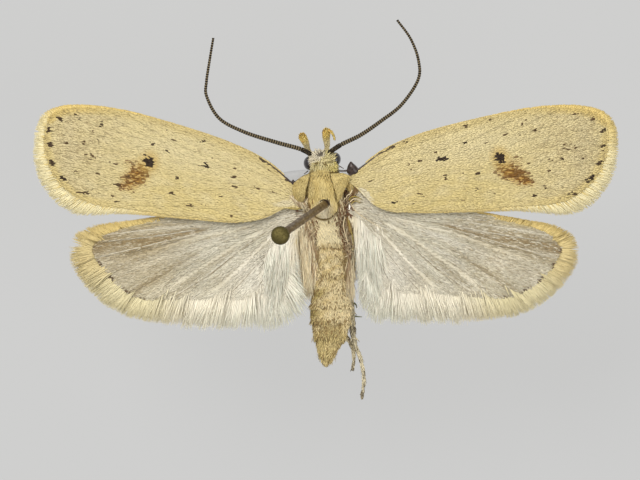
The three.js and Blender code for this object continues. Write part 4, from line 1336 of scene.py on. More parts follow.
def abdomen_colour(x, y, up, dice):
    """Cream, olive along the left side, with brown in the hems and a saddle, and as painted shade in the
    creases, along the left edge and on the right border.
    """
    hem = smooth(0.78, 0.95, ring_share(y)) * smooth(-3.5, -3.0, y)
    side = smooth(0.25, -0.45, x) * smooth(-1.8, -2.4, y)
    ragged = 0.05 * mottle(x, y, 0.12, 31)
    saddle = smooth(-3.42, -3.52, y + ragged) * smooth(-4.2, -3.95, y + ragged)
    saddle = saddle * smooth(0.5, 0.36, np.abs(x - 0.2 + ragged))
    colour = layered(
        even(ABDOMEN_CREAM, len(x)),
        (ABDOMEN_PALE, 0.5 + 0.6 * mottle(x, y, 0.28, 28)),
        (ABDOMEN_OLIVE, 0.55 * side + 0.35 * mottle(x, y, 0.35, 27) * smooth(-1.0, -2.0, y)),
        (ABDOMEN_PALE, 0.7 * smooth(0.0, 0.3, x) * smooth(-1.9, -2.2, y) * smooth(-3.6, -3.4, y)),
        (ABDOMEN_TIP, 0.7 * smooth(-3.5, -4.1, y)),
        (ABDOMEN_DUSK, 0.5 * saddle),
    )
    # Brown in the hems, the saddle and scattered flecks, and as painted shade along the left edge.
    brown = 0.12 + 0.25 * hem + 0.18 * saddle + 0.2 * mottle(x, y, 0.14, 29) + 0.35 * smooth(-0.2, -0.36, x)
    brown = brown + 0.85 * bump(y + 0.1 * (x - 0.1), -0.84, 0.05) * smooth(0.75, 0.55, np.abs(x - 0.14))
    # Painted shade in the creases and along the right border.
    for line, deep, width in CREASES:
        brown = brown + 10 * deep * bump(nearest(x, y, np.array(line))[0], 0, 0.7 * width)
    brown = brown + 0.85 * bump(nearest(x, y, np.array(ABDOMEN_BORDER))[0], 0, 0.1)
    return drawn(colour, ABDOMEN_BROWN, np.clip(brown, 0, 0.95) * up, dice, 0.8)


def body_colour(points, dice=None):
    """The coat's colours by place on the body."""
    x, y, z = points.T
    up = smooth(-0.15, 0.15, z + 0.12)
    head = head_colour(x, y, up, dice)
    thorax = thorax_colour(x, y, up, dice)
    abdomen = abdomen_colour(x, y, up, dice)
    colour = blend(thorax, head, smooth(1.97, 2.03, y))
    colour = blend(colour, abdomen, smooth(ABDOMEN_START + 0.15, ABDOMEN_START - 0.05, y))
    # Dark spots, the one right of the pin a painted shadow.
    for spot in BODY_SPOTS:
        colour = drawn(colour, GAP_BROWN, blot(x, y, spot) * up, dice, 0.85)
    return blend(even(UNDERSIDE, len(x)), colour, up)


def remeshed(parts, voxel):
    """One closed skin round overlapping parts, smoothed a little."""
    points, faces, _, _ = join(parts)
    mesh = bpy.data.meshes.new("skin_draft")
    mesh.from_pydata(points.tolist(), [], faces.tolist())
    draft = bpy.data.objects.new("skin_draft", mesh)
    bpy.context.scene.collection.objects.link(draft)
    union = draft.modifiers.new("union", "REMESH")
    union.mode = "VOXEL"
    union.voxel_size = voxel
    soften = draft.modifiers.new("soften", "SMOOTH")
    soften.factor = 0.5
    soften.iterations = 3
    evaluated = draft.evaluated_get(bpy.context.evaluated_depsgraph_get())
    result = evaluated.to_mesh()
    result.calc_loop_triangles()
    new_points = np.empty(len(result.vertices) * 3)
    result.vertices.foreach_get("co", new_points)
    new_faces = np.empty(len(result.loop_triangles) * 3, np.int32)
    result.loop_triangles.foreach_get("vertices", new_faces)
    evaluated.to_mesh_clear()
    bpy.data.objects.remove(draft)
    bpy.data.meshes.remove(mesh)
    return new_points.reshape(-1, 3), new_faces.reshape(-1, 3)


def body_form():
    """The body's own closed surface, before it is joined with the legs and palps."""
    rows, sides = 280, 96
    y = np.linspace(BODY[0][0] - 0.004, BODY[-1][0] + 0.004, rows)
    turn = np.arange(sides) / sides * FULL_TURN
    grid_y, grid_turn = np.meshgrid(y, turn, indexing="ij")
    points = body.place(grid_y.ravel(), grid_turn.ravel())
    x0, z0, _, _ = body.section(y[[0, -1]])
    points = np.vstack([points, [x0[0], y[0], z0[0]], [x0[1], y[-1], z0[1]]])
    return points, capped_faces(rows, sides), np.zeros((len(points), 3)), None


# Centre lines, close to the CAD's. The feelers' differ only at the root, which the crown's tufts cover.
FEELERS = {
    "left": [
        (-0.5, 2.54, 0.2), (-0.9, 2.73, 0.4), (-1.8, 2.98, 0.46), (-2.91, 3.34, 0.52), (-3.79, 3.82, 0.58),
        (-4.24, 4.6, 0.64), (-4.25, 5.13, 0.68), (-4.13, 5.92, 0.74), (-4.0, 6.7, 0.8),
    ],
    "right": [
        (0.12, 2.58, 0.2), (0.57, 2.88, 0.4), (1.28, 3.23, 0.45), (2.01, 3.73, 0.5), (2.74, 4.31, 0.56),
        (3.33, 5.19, 0.64), (3.35, 5.89, 0.69), (3.07, 6.66, 0.75), (2.58, 7.34, 0.8),
    ],
}
PALPS = {
    "left": [(-0.42, 2.4, -0.42), (-0.6, 2.7, -0.42), (-0.69, 2.94, -0.28), (-0.82, 3.2, -0.02)],
    "right": [(-0.02, 2.42, -0.42), (0.07, 2.8, -0.4), (0.05, 3.12, -0.25), (0.04, 3.36, -0.02)],
}
PALP_TIPS = {
    "left": [(-0.8, 3.12, -0.05), (-0.84, 3.2, 0.1), (-0.8, 3.16, 0.28), (-0.72, 3.06, 0.4)],
    "right": [
        (0.04, 3.3, -0.05), (0.1, 3.4, 0.06), (0.22, 3.34, 0.16), (0.31, 3.2, 0.22), (0.34, 3.08, 0.24),
    ],
}
LEGS = {
    "foreleg_left": [
        (-0.3, 1.55, -0.5), (-0.34, 1.5, -1.15), (-0.36, 1.95, -1.5), (-0.36, 2.42, -1.4),
        (-0.34, 2.6, -0.98),
    ],
    "foreleg_right": [
        (0.12, 1.6, -0.5), (0.16, 1.55, -1.15), (0.18, 2.0, -1.5), (0.18, 2.47, -1.4), (0.14, 2.65, -0.98),
    ],
    "midleg_left": [
        (-0.5, 0.85, -0.6), (-0.78, 1.2, -1.05), (-0.8, 1.1, -1.5), (-0.72, 0.4, -1.72),
        (-0.6, -0.6, -1.66), (-0.5, -1.6, -1.5),
    ],
    "midleg_right": [
        (0.52, 0.85, -0.6), (0.82, 1.25, -1.05), (0.86, 1.15, -1.5), (0.8, 0.4, -1.72), (0.72, -0.6, -1.66),
        (0.66, -1.7, -1.5),
    ],
    "hindleg_left": [
        (-0.3, 0.1, -0.6), (-0.4, -0.6, -0.98), (-0.3, -1.6, -1.0), (0.1, -2.9, -0.95), (0.7, -3.9, -0.86),
        (0.98, -4.42, -0.8), (1.04, -4.82, -0.78), (1.0, -5.22, -0.76),
    ],
    "hindleg_right": [
        (0.42, 0.1, -0.6), (0.72, -0.6, -0.95), (0.88, -1.7, -0.9), (0.94, -3.0, -0.78),
        (1.06, -4.2, -0.66), (1.27, -4.8, -0.56), (1.4, -5.5, -0.52), (1.34, -6.24, -0.5),
    ],
}
# Where the knee and the ankle are along a leg, and the radius along it.
KNEE, ANKLE = 0.36, 0.66
LEG_SHAPE = [
    (0.0, 0.2), (0.1, 0.19), (0.3, 0.13), (KNEE, 0.085), (0.45, 0.125), (0.6, 0.11), (ANKLE, 0.075),
    (0.72, 0.06), (0.97, 0.048), (1.0, 0.03),
]
# Where along each kind of leg its spurs are. The forelegs have only one, the others pairs.
SPURS = {"foreleg": [0.56], "midleg": [ANKLE - 0.01], "hindleg": [0.5, ANKLE - 0.01]}
SPUR_SIDES = {"foreleg": (1,), "midleg": (-1, 1), "hindleg": (-1, 1)}
TARSUS_JOINTS = 5
# Two spurs of the right hind leg that stand out beside the abdomen.
STRAY_SPURS = [
    ([(1.0, -3.28, -0.72), (1.18, -3.31, -0.7), (1.34, -3.32, -0.68)], 0.036, 0.014),
    ([(1.02, -2.8, -0.7), (1.12, -2.88, -0.66), (1.15, -3.0, -0.66)], 0.036, 0.016),
]


def toe_place(share):
    """How many toe joints places along a leg are past its ankle."""
    return (share - ANKLE) / (1 - ANKLE) * TARSUS_JOINTS


def leg_radius(share):
    """The radius along a leg, with slight waists between its toe joints."""
    radius = np.interp(share, *np.array(LEG_SHAPE).T)
    toe = toe_place(share)
    return radius * np.where(share > ANKLE, 1.08 - 0.22 * bump(toe - np.round(toe), 0, 0.1), 1.0)


def leg_colour(share, dice=None):
    """Cream, with brown on the shin's end and at the tip of each toe joint."""
    toe = toe_place(share)
    brown = 0.35 * smooth(0.62, 0.9, toe - np.floor(toe)) * (share > ANKLE) + 0.8 * smooth(0.93, 0.97, share)
    brown = brown + 0.75 * bump(share, ANKLE - 0.05, 0.025) + 0.04
    return drawn(even(LEG_CREAM, len(share)), LEG_DARK, brown, dice, 0.75)


def tube_coat(curve, count, radius_at, colour_at, dice, strip, span=(0.0, 1.0), **looks):
    """Scales round a tube, pointing to its tip. strip is its place on the map, from and to."""
    share = np.sort(dice.uniform(*span, count))
    turn = dice.uniform(0, FULL_TURN, count)
    middle, heading, side, up = tube_frames(curve, share)
    out = side * np.cos(turn)[:, None] + up * np.sin(turn)[:, None]
    radius = radius_at(share)
    inset = np.where(share > span[1] - 0.08, np.sqrt(dice.random(count)), 0.96)
    roots = middle + out * (radius * inset)[:, None]
    place = np.stack([strip[0] + (strip[1] - strip[0]) * turn / FULL_TURN, on_map(share)], -1)
    colour = colour_at(share, dice) * dice.normal(1, 0.08, (count, 1))
    length = looks.pop("length") * dice.uniform(0.7, 1.25, count)
    width = looks.pop("half_width") * dice.uniform(0.8, 1.2, count)
    rise = looks.pop("rise", 0.12) * dice.gamma(2.0, 0.5, count)
    return blades(roots, heading, out, length, width, colour, place, rise=rise, **looks)


def spur(curve, joint, way):
    """One spur of a leg, to one side of it, at a place along it."""
    middle, heading, side, up = tube_frames(curve, np.array([joint - 0.02, joint]))
    root = middle[1]
    end = root + heading[1] * 0.26 + side[1] * 0.2 * way
    share = np.linspace(0, 1, 7)
    tint = blend(even(LEG_CREAM, 7), LEG_DARK, smooth(0.5, 1, share))
    path = Curve([root, (root + end) / 2 + up[1] * 0.03, end])
    return tube(path, share, 0.034 * (1.02 - share ** 2 * 0.9), tint, sides=8)


def claw(curve, way):
    """One claw of a leg, to one side of its end."""
    middle, heading, side, up = tube_frames(curve, np.array([0.97, 1.0]))
    root = middle[1] - heading[1] * 0.02
    share = np.linspace(0, 1, 6)
    path = Curve([
        root,
        root + heading[1] * 0.05 + side[1] * 0.03 * way,
        root + heading[1] * 0.07 + side[1] * 0.035 * way - up[1] * 0.05,
    ])
    return tube(path, share, 0.016 * (1.05 - share), even(GAP_BROWN, 6), sides=6)


def make_legs(coat, horn):
    """The legs' scales, and their spurs and claws. Their skin is part of the body's."""
    coats, hard = [], []
    for number, (name, points) in enumerate(LEGS.items()):
        curve = Curve(points)
        strip = (number / len(LEGS) + 0.01, number / len(LEGS) + 0.15)
        coats.append(tube_coat(
            curve, int(LEG_SCALES_PER_MM * curve.length), leg_radius, leg_colour, rng, strip,
            span=(0.03, 0.985), length=0.15, half_width=0.026, rise=0.14, curl=-0.05,
        ))
        kind = name.split("_")[0]
        hard += [spur(curve, joint, way) for joint in SPURS[kind] for way in SPUR_SIDES[kind]]
        hard += [claw(curve, way) for way in (-1, 1)]
    hard += [rod(line, start, end, SPUR_OLIVE) for line, start, end in STRAY_SPURS]
    new_piece("leg_scales", join(coats), coat)
    new_piece("spurs_and_claws", join(hard), horn)


def palp_radius(share):
    """The radius along a palp's second joint, which thickens towards its end."""
    return 0.075 + 0.07 * smooth(0.1, 0.85, share) - 0.05 * smooth(0.95, 1.0, share)


def palp_colour(share, dice=None):
    """Straw, golden with a few orange scales towards the end."""
    colour = blend(even(PALP_STRAW, len(share)), PALP_GOLD, smooth(0.55, 0.85, share))
    return drawn(colour, PALP_ORANGE, 0.16 * smooth(0.75, 0.9, share), dice, 0.8)


def palp_tip_radius(share):
    """The radius along a palp's thin last joint."""
    return 0.058 * (1.05 - 0.6 * share)


def palp_tip_colour(share, dice=None):
    """Like the end of the joint that carries it."""
    return palp_colour(0.86 - 0.1 * share, dice)


def make_palps(coat):
    """The palps' scales. Their skin is part of the body's."""
    coats = []
    for number, side in enumerate(SIDES):
        strip = (0.02 + 0.5 * number, 0.45 + 0.5 * number)
        coats.append(tube_coat(
            Curve(PALPS[side]), PALP_SCALES, palp_radius, palp_colour, rng, strip, span=(0.05, 1.0),
            length=0.11, half_width=0.019, rise=0.06, curl=0.0, thick=0.12, shade=(0.92, 1.0, 1.04),
        ))
        coats.append(tube_coat(
            Curve(PALP_TIPS[side]), PALP_TIP_SCALES, palp_tip_radius, palp_tip_colour, rng, strip,
            span=(0.02, 0.98), length=0.08, half_width=0.015, rise=0.08, thick=0.12, shade=(0.85, 1.0, 1.05),
        ))
    new_piece("palp_scales", join(coats), coat)


FEELER_JOINTS = 72
# The length of each feeler's thick first joint, its radius, and the scales on it.
FEELER_BASE = {"left": 0.46, "right": 0.6}
FEELER_BASE_RADIUS = 0.086
FEELER_BASE_SCALES = 160
# How many scales stand round each of the other joints.
FEELER_WHORL = 16


def thread_radius(share):
    """The radius along a feeler's thread."""
    return 0.082 - 0.042 * share


def feeler(curve, base):
    """A feeler's own form: a thick first joint, then dark joints with pale rings between them."""
    in_joint = np.array([0.0, 0.2, 0.34, 0.6, 0.92])
    joints = np.arange(FEELER_JOINTS)[:, None] + in_joint
    share = np.concatenate([
        np.array([0.0, 0.08, 0.5, 0.88, 0.98]) * base, (base + (1 - base) * joints / FEELER_JOINTS).ravel(),
        [0.9995],
    ])
    phase = np.concatenate([[0.6] * 5, np.tile(in_joint, FEELER_JOINTS), [0.9]])
    thread = thread_radius(share) * (0.84 + 0.22 * smooth(0.1, 0.4, phase))
    radius = np.where(share < base, FEELER_BASE_RADIUS, thread)
    radius[[0, 4]] = 0.05
    radius[-1] = 0.01
    pale = np.where(share < base, 0.05, np.maximum(smooth(0.28, 0.1, phase), smooth(0.85, 0.95, phase)))
    return tube(curve, share, radius, blend(even(FEELER_DARK, len(share)), FEELER_PALE, pale))


def feeler_coat(curve, base, dice):
    """Small dark scales over a feeler's first joint, and in a whorl round each of the others."""
    joint, spot = np.meshgrid(np.arange(FEELER_JOINTS), np.arange(FEELER_WHORL), indexing="ij")
    at = base + (1 - base) * (joint.ravel() + 0.28 + dice.uniform(0, 0.18, joint.size)) / FEELER_JOINTS
    at = np.concatenate([dice.uniform(0.1 * base, 0.9 * base, FEELER_BASE_SCALES), at])
    turn = dice.uniform(0, FULL_TURN, FEELER_BASE_SCALES)
    turn = np.concatenate([turn, spot.ravel() / FEELER_WHORL * FULL_TURN])
    middle, heading, side, up = tube_frames(curve, at)
    out = side * np.cos(turn)[:, None] + up * np.sin(turn)[:, None]
    thickness = np.where(at < base, 0.083, thread_radius(at))
    colour = drawn(even(FEELER_DARK, len(at)), FEELER_PALE, np.where(at < base, 0.22, 0.04), dice, 0.6)
    colour = colour * dice.normal(1.1, 0.12, (len(at), 1))
    return blades(
        middle + out * thickness[:, None], heading, out, 0.046 * dice.uniform(0.8, 1.2, len(at)), 0.011,
        colour, np.stack([on_map(turn / FULL_TURN), on_map(at)], -1), rise=0.1, curl=-0.05,
        shade=(0.9, 1.0, 1.1),
    )


def make_feelers(coat, dice):
    """Both feelers, each with its scales."""
    for side in SIDES:
        curve = Curve(FEELERS[side])
        base = FEELER_BASE[side] / curve.length
        new_piece(f"feeler_{side}", feeler(curve, base), coat, [f"antenna_{side}"])
        new_piece(f"feeler_scales_{side}", feeler_coat(curve, base, dice), coat)


def make_skin(skin):
    """One skin for head, trunk, legs and palps, with no seam where they meet."""
    share = np.linspace(0, 1, 60)
    plain = np.zeros((len(share), 3))
    parts = [body_form()]
    parts += [tube(Curve(points), share, leg_radius(share), plain, sides=12) for points in LEGS.values()]
    for side in SIDES:
        parts.append(tube(Curve(PALPS[side]), share, palp_radius(share), plain, sides=12))
        parts.append(tube(Curve(PALP_TIPS[side]), share, palp_tip_radius(share), plain, sides=12))
    points, faces = remeshed(parts, SKIN_VOXEL)
    colour = body_colour(points)
    for side in SIDES:
        colour = near_line(points, colour, Curve(PALP_TIPS[side]), palp_tip_radius, palp_tip_colour)
        colour = near_line(points, colour, Curve(PALPS[side]), palp_radius, palp_colour)
    for line in LEGS.values():
        colour = near_line(points, colour, Curve(line), leg_radius, leg_colour)
    nodes = ["head", "collar", "thorax", "metathorax", "abdomen", "palp_left", "palp_right", *LEGS]
    new_piece("skin", outward((points, faces, SKIN_SHADE * colour, None)), skin, nodes)


def near_line(points, colour, curve, radius_at, colour_at):
    """The colours of a tube, given to the points that lie on it."""
    share = np.linspace(0, 1, 80)
    low, high = curve.points.min(0) - 0.25, curve.points.max(0) + 0.25
    near = np.flatnonzero(((points > low) & (points < high)).all(1))
    gaps = np.linalg.norm(points[near, None] - curve.at(share)[None], axis=2)
    best = gaps.argmin(1)
    on = gaps[np.arange(len(near)), best] < radius_at(share[best]) * 1.25 + 0.02
    colour = colour.copy()
    colour[near[on]] = colour_at(share[best[on]])
    return colour


# Eyes and hinge plates, as in the CAD: middles and half sizes.
EYE_HALF = (0.21, 0.25, 0.28)
EYES = {"left": (-0.56, 2.23, -0.08), "right": (0.36, 2.37, -0.08)}
HINGE_PLATES = {
    "left": ((-1.13, 1.54, 0.36), (0.08, 0.1, 0.08)),
    "right": ((0.98, 2.04, 0.32), (0.2, 0.25, 0.15)),
}
# Shoulder plates: their inner and outer borders, from front to rear.
TEGULAE = {
    "left": {
        "inner": [
            (-0.56, 1.82, 0.44), (-0.6, 1.62, 0.62), (-0.68, 1.3, 0.68), (-0.73, 1.02, 0.6),
            (-0.8, 0.9, 0.5),
        ],
        "outer": [
            (-0.58, 1.84, 0.42), (-0.86, 1.7, 0.46), (-1.08, 1.5, 0.46), (-1.14, 1.22, 0.48),
            (-1.06, 0.98, 0.46), (-0.84, 0.88, 0.46),
        ],
    },
    "right": {
        "inner": [
            (0.2, 1.85, 0.5), (0.28, 1.5, 0.63), (0.36, 1.22, 0.64), (0.4, 1.0, 0.6), (0.41, 0.8, 0.54),
        ],
        "outer": [
            (0.62, 1.86, 0.46), (0.8, 1.78, 0.46), (0.82, 1.6, 0.48), (0.76, 1.4, 0.5), (0.64, 1.14, 0.5),
            (0.52, 0.92, 0.52), (0.43, 0.79, 0.56),
        ],
    },
}
# The scales of the crown's front stand away from this place.
WHORL = (-0.17, 2.44)


def locks(kept, y, turn, here, along, up, length, colour, half_width, **looks):
    """The kept ones of a coat's locks on the body."""
    return blades(
        here[kept], along[kept], up[kept], length[kept], half_width, colour[kept], body_map(y, turn)[kept],
        shape=LOCK, **looks,
    )


def head_coat(dice):
    """Scales that stand out round the front of the crown, and lie back behind its parting."""
    y, turn = body_rows(2.64, 2.04, 0.034, 0.038, dice)
    here, rear, around, up = body.axes(y, turn)
    x = here[:, 0]
    crown = smooth(0.1, 0.35, np.sin(turn))
    ahead = smooth(-0.01, 0.01, parting(x, y))
    spot = blot(x, y, BODY_SPOTS[0]) * crown
    split = bump(parting(x, y), 0, 0.014) * crown
    kept = (dice.random(len(y)) > 0.9 * spot) & (dice.random(len(y)) > split)
    kept &= ~((np.abs(np.cos(turn)) > 0.87) & (y < 2.56) & (y > 2.1))
    away = unit(np.stack([x - WHORL[0], y - WHORL[1], 0 * x], -1))
    forward = 0.8 * away - 0.55 * rear + np.array([0.1, 0, 0]) * (x > 0)[:, None]
    back = rear + around * (0.3 * np.cos(turn))[:, None]
    down = rear * 0.9 - np.array([0, 0, 0.2])
    along = unit(blend(down, blend(back, forward, ahead), crown) + dice.normal(0, 0.2, here.shape))
    along = laid(along, up)
    length = (0.12 + 0.05 * crown) * dice.uniform(0.7, 1.25, len(y))
    rise = (0.12 + crown * (0.22 + 0.2 * ahead)) * dice.uniform(0.4, 1.5, len(y))
    colour = body_colour(here, dice) * dice.normal(1.04, 0.08, (len(y), 1))
    return locks(
        kept, y, turn, here, along, up, length, colour, 0.019 * dice.uniform(0.75, 1.25, kept.sum()),
        rise=rise[kept], curl=-0.12, sway=dice.normal(0, 0.08, kept.sum()), thick=0.15,
        shade=(0.58, 0.92, 1.05, 1.1),
    )


def face_coat(dice, count):
    """Smooth scales that point down over the round front of the head."""
    y = 2.668 - 0.13 * dice.random(count)
    turn = dice.uniform(0, FULL_TURN, count)
    here, _, _, up = body.axes(y, turn)
    down = np.array([0.0, 0.0, -1.0]) + dice.normal(0, 0.15, here.shape)
    along = laid(down, up)
    colour = body_colour(here, dice) * dice.normal(1.0, 0.06, (count, 1))
    return blades(
        here, along, up, 0.13 * dice.uniform(0.7, 1.2, count), 0.021 * dice.uniform(0.8, 1.2, count), colour,
        body_map(y, turn), shape=LOCK, rise=0.1, curl=-0.08, thick=0.15, shade=(0.75, 0.96, 1.04, 1.08),
    )


def brow_tufts(dice, count):
    """Tufts at the sides of the crown, that lean out over the eyes."""
    side = np.where(dice.random(count) < 0.5, -1.0, 1.0)
    y = dice.uniform(2.02, 2.58, count)
    turn = math.pi / 2 - side * dice.uniform(0.75, 1.1, count)
    here, rear, around, up = body.axes(y, turn)
    back = rear * dice.uniform(-0.2, 0.8, count)[:, None]
    along = unit(-around * side[:, None] * 0.8 - back + dice.normal(0, 0.12, here.shape))
    along = unit(along + up * 0.15)
    colour = body_colour(here, dice) * dice.normal(1.02, 0.07, (count, 1))
    return blades(
        here, along, up, 0.15 * dice.uniform(0.7, 1.2, count), 0.02 * dice.uniform(0.8, 1.2, count), colour,
        body_map(y, turn), shape=LOCK, rise=0.15, curl=-0.2, thick=0.15, shade=(0.7, 0.95, 1.05, 1.08),
    )


def collar_coat(dice):
    """A fan of broad scales behind the head, in bunches with slits of painted shade between them."""
    y, turn = body_rows(2.14, 1.86, 0.034, 0.038, dice)
    here, rear, around, up = body.axes(y, turn)
    x = here[:, 0]
    way = dice.normal(0, 0.12, (len(y), 1)) + 0.35 - 0.5 * np.cos(turn)[:, None]
    along = unit(rear + around * way)
    length = np.where(x > -0.34, 0.12, 0.16) * dice.uniform(0.8, 1.2, len(y))
    middle = here + along * (0.5 * length)[:, None]
    kept = y > np.where((x > -0.17) & (np.sin(turn) > 0.2), 1.98, 1.86)
    kept &= collar_slits(*middle[:, :2].T) * (np.sin(turn) > 0.1) < 0.25 * dice.random(len(y)) + 0.06
    colour = body_colour(middle, None) * dice.normal(1.04, 0.07, (len(y), 1))
    return locks(
        kept, y, turn, here, along, up, length, colour, 0.021 * dice.uniform(0.8, 1.2, kept.sum()),
        rise=0.2 * dice.uniform(0.5, 1.4, kept.sum()), curl=-0.15, thick=0.15, shade=(0.6, 0.95, 1.05, 1.08),
    )


def thorax_coat(dice):
    """Long scales that lie smooth to the rear over the shield, and hairs on the sides and breast."""
    y, turn = body_rows(1.96, 0.02, 0.05, 0.04, dice)
    here, rear, around, up = body.axes(y, turn)
    back = smooth(-0.1, 0.3, np.sin(turn))
    depth = shield_depth(here[:, 0], y)
    on_shield = (depth > 0.012) & (back > 0.5)
    to_rim = reach(here[:, :2], even([0.0, -1.0], len(y)), shield_line[:-1])
    room = np.where(on_shield, to_rim, 1.0)
    waist = (y < 0.75) & (depth < 0.012)
    kept = ((depth > 0.01) | (depth < -0.05) | (back < 0.5)) & ~(waist & (back > 0.3))
    kept |= (here[:, 0] > 0.2) & (y < 1.45) & (y > 0.7) & (np.abs(depth) < 0.06)
    turn_in = dice.normal(0, 0.08, len(y)) - 0.12 * (here[:, 0] + 0.1) * back
    along = unit(rear + around * turn_in[:, None])
    length = 0.27 * dice.uniform(0.8, 1.25, len(y))
    length = np.maximum(np.minimum(length, room * dice.uniform(0.9, 1.1, len(y))), 0.06)
    rise = (0.045 + 0.12 * (1 - back)) * dice.uniform(0.5, 1.5, len(y))
    colour = body_colour(here + along * (0.55 * length)[:, None], dice)
    colour = colour * dice.normal(1.02, 0.035, (len(y), 1))
    return locks(
        kept, y, turn, here, along, up, length, colour, 0.026 * dice.uniform(0.75, 1.2, kept.sum()),
        rise=rise[kept], curl=-0.04, sway=dice.normal(0, 0.03, kept.sum()), thick=0.12,
        shade=(0.9, 0.99, 1.02, 1.04),
    )


def waist_coat(dice):
    """Short pale scales over the waist, and longer hairs at its sides."""
    y, turn = body_rows(0.8, -0.75, 0.05, 0.042, dice)
    here, rear, around, up = body.axes(y, turn)
    depth = shield_depth(here[:, 0], y)
    kept = (depth < -0.045) & ((np.sin(turn) > 0.1) | (y < 0.05))
    for line in CAVITIES:
        kept &= dice.random(len(y)) > 0.9 * bump(nearest(here[:, 0], y, np.array(line))[0], 0, 0.13)
    sides = smooth(0.6, 0.9, np.abs(np.cos(turn)))
    along = unit(rear + around * (dice.normal(0, 0.35, len(y)) + 0.2 * np.cos(turn))[:, None])
    colour = body_colour(here, dice) * dice.normal(1.02, 0.07, (len(y), 1))
    length = (0.14 + 0.2 * sides) * dice.uniform(0.7, 1.25, len(y))
    return locks(
        kept, y, turn, here, along, up, length, colour, 0.025 * dice.uniform(0.75, 1.2, kept.sum()),
        rise=0.16 * dice.uniform(0.4, 1.6, kept.sum()), curl=-0.1, sway=dice.normal(0, 0.1, kept.sum()),
        thick=0.15, shade=(0.72, 0.97, 1.04, 1.08),
    )


def silky(dice, roots, ways, length, places, brown):
    """Long silky hairs, cream with a few brown ones among them as painted shade."""
    count = len(roots)
    colour = blend(even(FRINGE_BODY, count), FIBRE_CREAM, dice.random(count))
    colour = drawn(colour, FIBRE_SHADE_BROWN, brown * np.ones(count), dice, 0.7)
    colour = colour * dice.normal(1.2, 0.06, (count, 1))
    along = unit(ways + dice.normal(0, 0.09, (count, 3)))
    upright = even([0.0, 0.0, 1.0], count)
    return blades(
        roots, along, upright, length, 0.017 * dice.uniform(0.7, 1.3, count), colour, places, shape=HAIR,
        rise=0.02, curl=dice.normal(-0.04, 0.04, count), sway=dice.normal(0, 0.08, count), thick=0.15,
        shade=(0.85, 1.0, 1.05),
    )


# Hairs beside the waist: how many, where their roots start and how far back they go, how far out they go,
# the share of that out to which brown ones, painted shade in the cleft, are mixed in, and their place on the
# map.
ROOT_TUFTS = {
    "left": (2200, 0.5, 2.2, 1.12, 0.26, 0.34),
    "right": (1500, 0.1, 1.9, 1.18, 0.6, 0.0),
}
# The rear border of the left shoulder plate, from which hairs hang.
TUFT_BORDER = [(-1.22, 1.02, 0.4), (-1.02, 0.93, 0.45), (-0.84, 0.9, 0.46), (-0.7, 0.95, 0.46)]


def root_tufts(dice):
    """Hairs from the sides of the waist back beside the abdomen, and from the shoulder plate's rear."""
    parts = []
    for side, (count, start, back, outer, dark, map_start) in ROOT_TUFTS.items():
        sign = SIDES[side]["sign"]
        share = dice.random(count) ** 0.8
        y = start - back * share
        middle, z, wide, _ = body.section(y)
        inner = np.maximum(sign * middle + wide * 0.97, 0.3)
        out = dice.random(count)
        x = inner + (outer - 0.16 * share - inner) * out
        low = np.minimum(z + 0.24 - 0.14 * out, HINDWING_LEVEL + 0.12)
        roots = np.stack([sign * x, y, low - 0.05 * dice.random(count)], -1)
        ways = even([-0.08 * sign, -1.0, -0.02], count)
        length = (0.5 + 0.5 * share) * dice.uniform(0.6, 1.2, count)
        places = np.stack([0.02 + 0.3 * out + map_start, 0.05 + 0.9 * share], -1)
        # Brown hairs near the body: painted shade in the cleft beside the abdomen.
        brown = 0.6 * smooth(dark + 0.1, dark - 0.1, out) * smooth(1.0, 0.6, share)
        parts.append(silky(dice, roots, ways, length, places, brown))
    share = dice.random(BORDER_HAIRS)
    scatter = dice.normal(0, 0.03, (BORDER_HAIRS, 3)) * [1, 1, 0.6]
    ways = even([0.95, -1.0, -0.28], BORDER_HAIRS) - share[:, None] * [0.5, 0, 0]
    places = np.stack([0.7 + 0.28 * share, 0.05 + 0.9 * dice.random(BORDER_HAIRS)], -1)
    length = 0.36 * dice.uniform(0.5, 1.25, BORDER_HAIRS)
    parts.append(silky(dice, Curve(TUFT_BORDER).at(share) + scatter, ways, length, places, 0.35))
    return join(parts)


def abdomen_coat(dice):
    """Broad rough scales, lifted along each ring's rear edge, and a brush at the tip."""
    y, turn = body_rows(ABDOMEN_START + 0.12, -4.95, 0.035, 0.033, dice)
    here, rear, around, up = body.axes(y, turn)
    hem = smooth(0.7, 0.92, ring_share(y))
    tip = smooth(-3.7, -4.6, y)
    clump = mottle(here[:, 0], here[:, 1], 0.16, 61)
    way = dice.normal(0, 0.35, len(y)) * (1 - 0.7 * tip) + 0.35 * mottle(here[:, 0], here[:, 1], 0.3, 62)
    along = unit(rear + around * way[:, None])
    colour = body_colour(here - np.array([0, 0.06, 0]), dice)
    colour = colour * (dice.normal(1.03, 0.1, len(y)) + 0.07 * clump)[:, None]
    length = (0.105 + 0.04 * hem + 0.14 * tip) * dice.uniform(0.75, 1.3, len(y))
    length = np.minimum(length, np.maximum(y - ABDOMEN_END, 0.08))
    rise = (0.15 + 0.16 * hem + 0.08 * clump - 0.05 * tip) * dice.gamma(2.0, 0.5, len(y))
    return blades(
        here, along, up, length, (0.022 - 0.004 * tip) * dice.uniform(0.75, 1.25, len(y)), colour,
        body_map(y, turn), rise=np.clip(rise, 0.02, 0.6), curl=-0.06, sway=dice.normal(0, 0.05, len(y)),
        thick=0.12, shade=(0.78, 1.0, 1.06),
    )


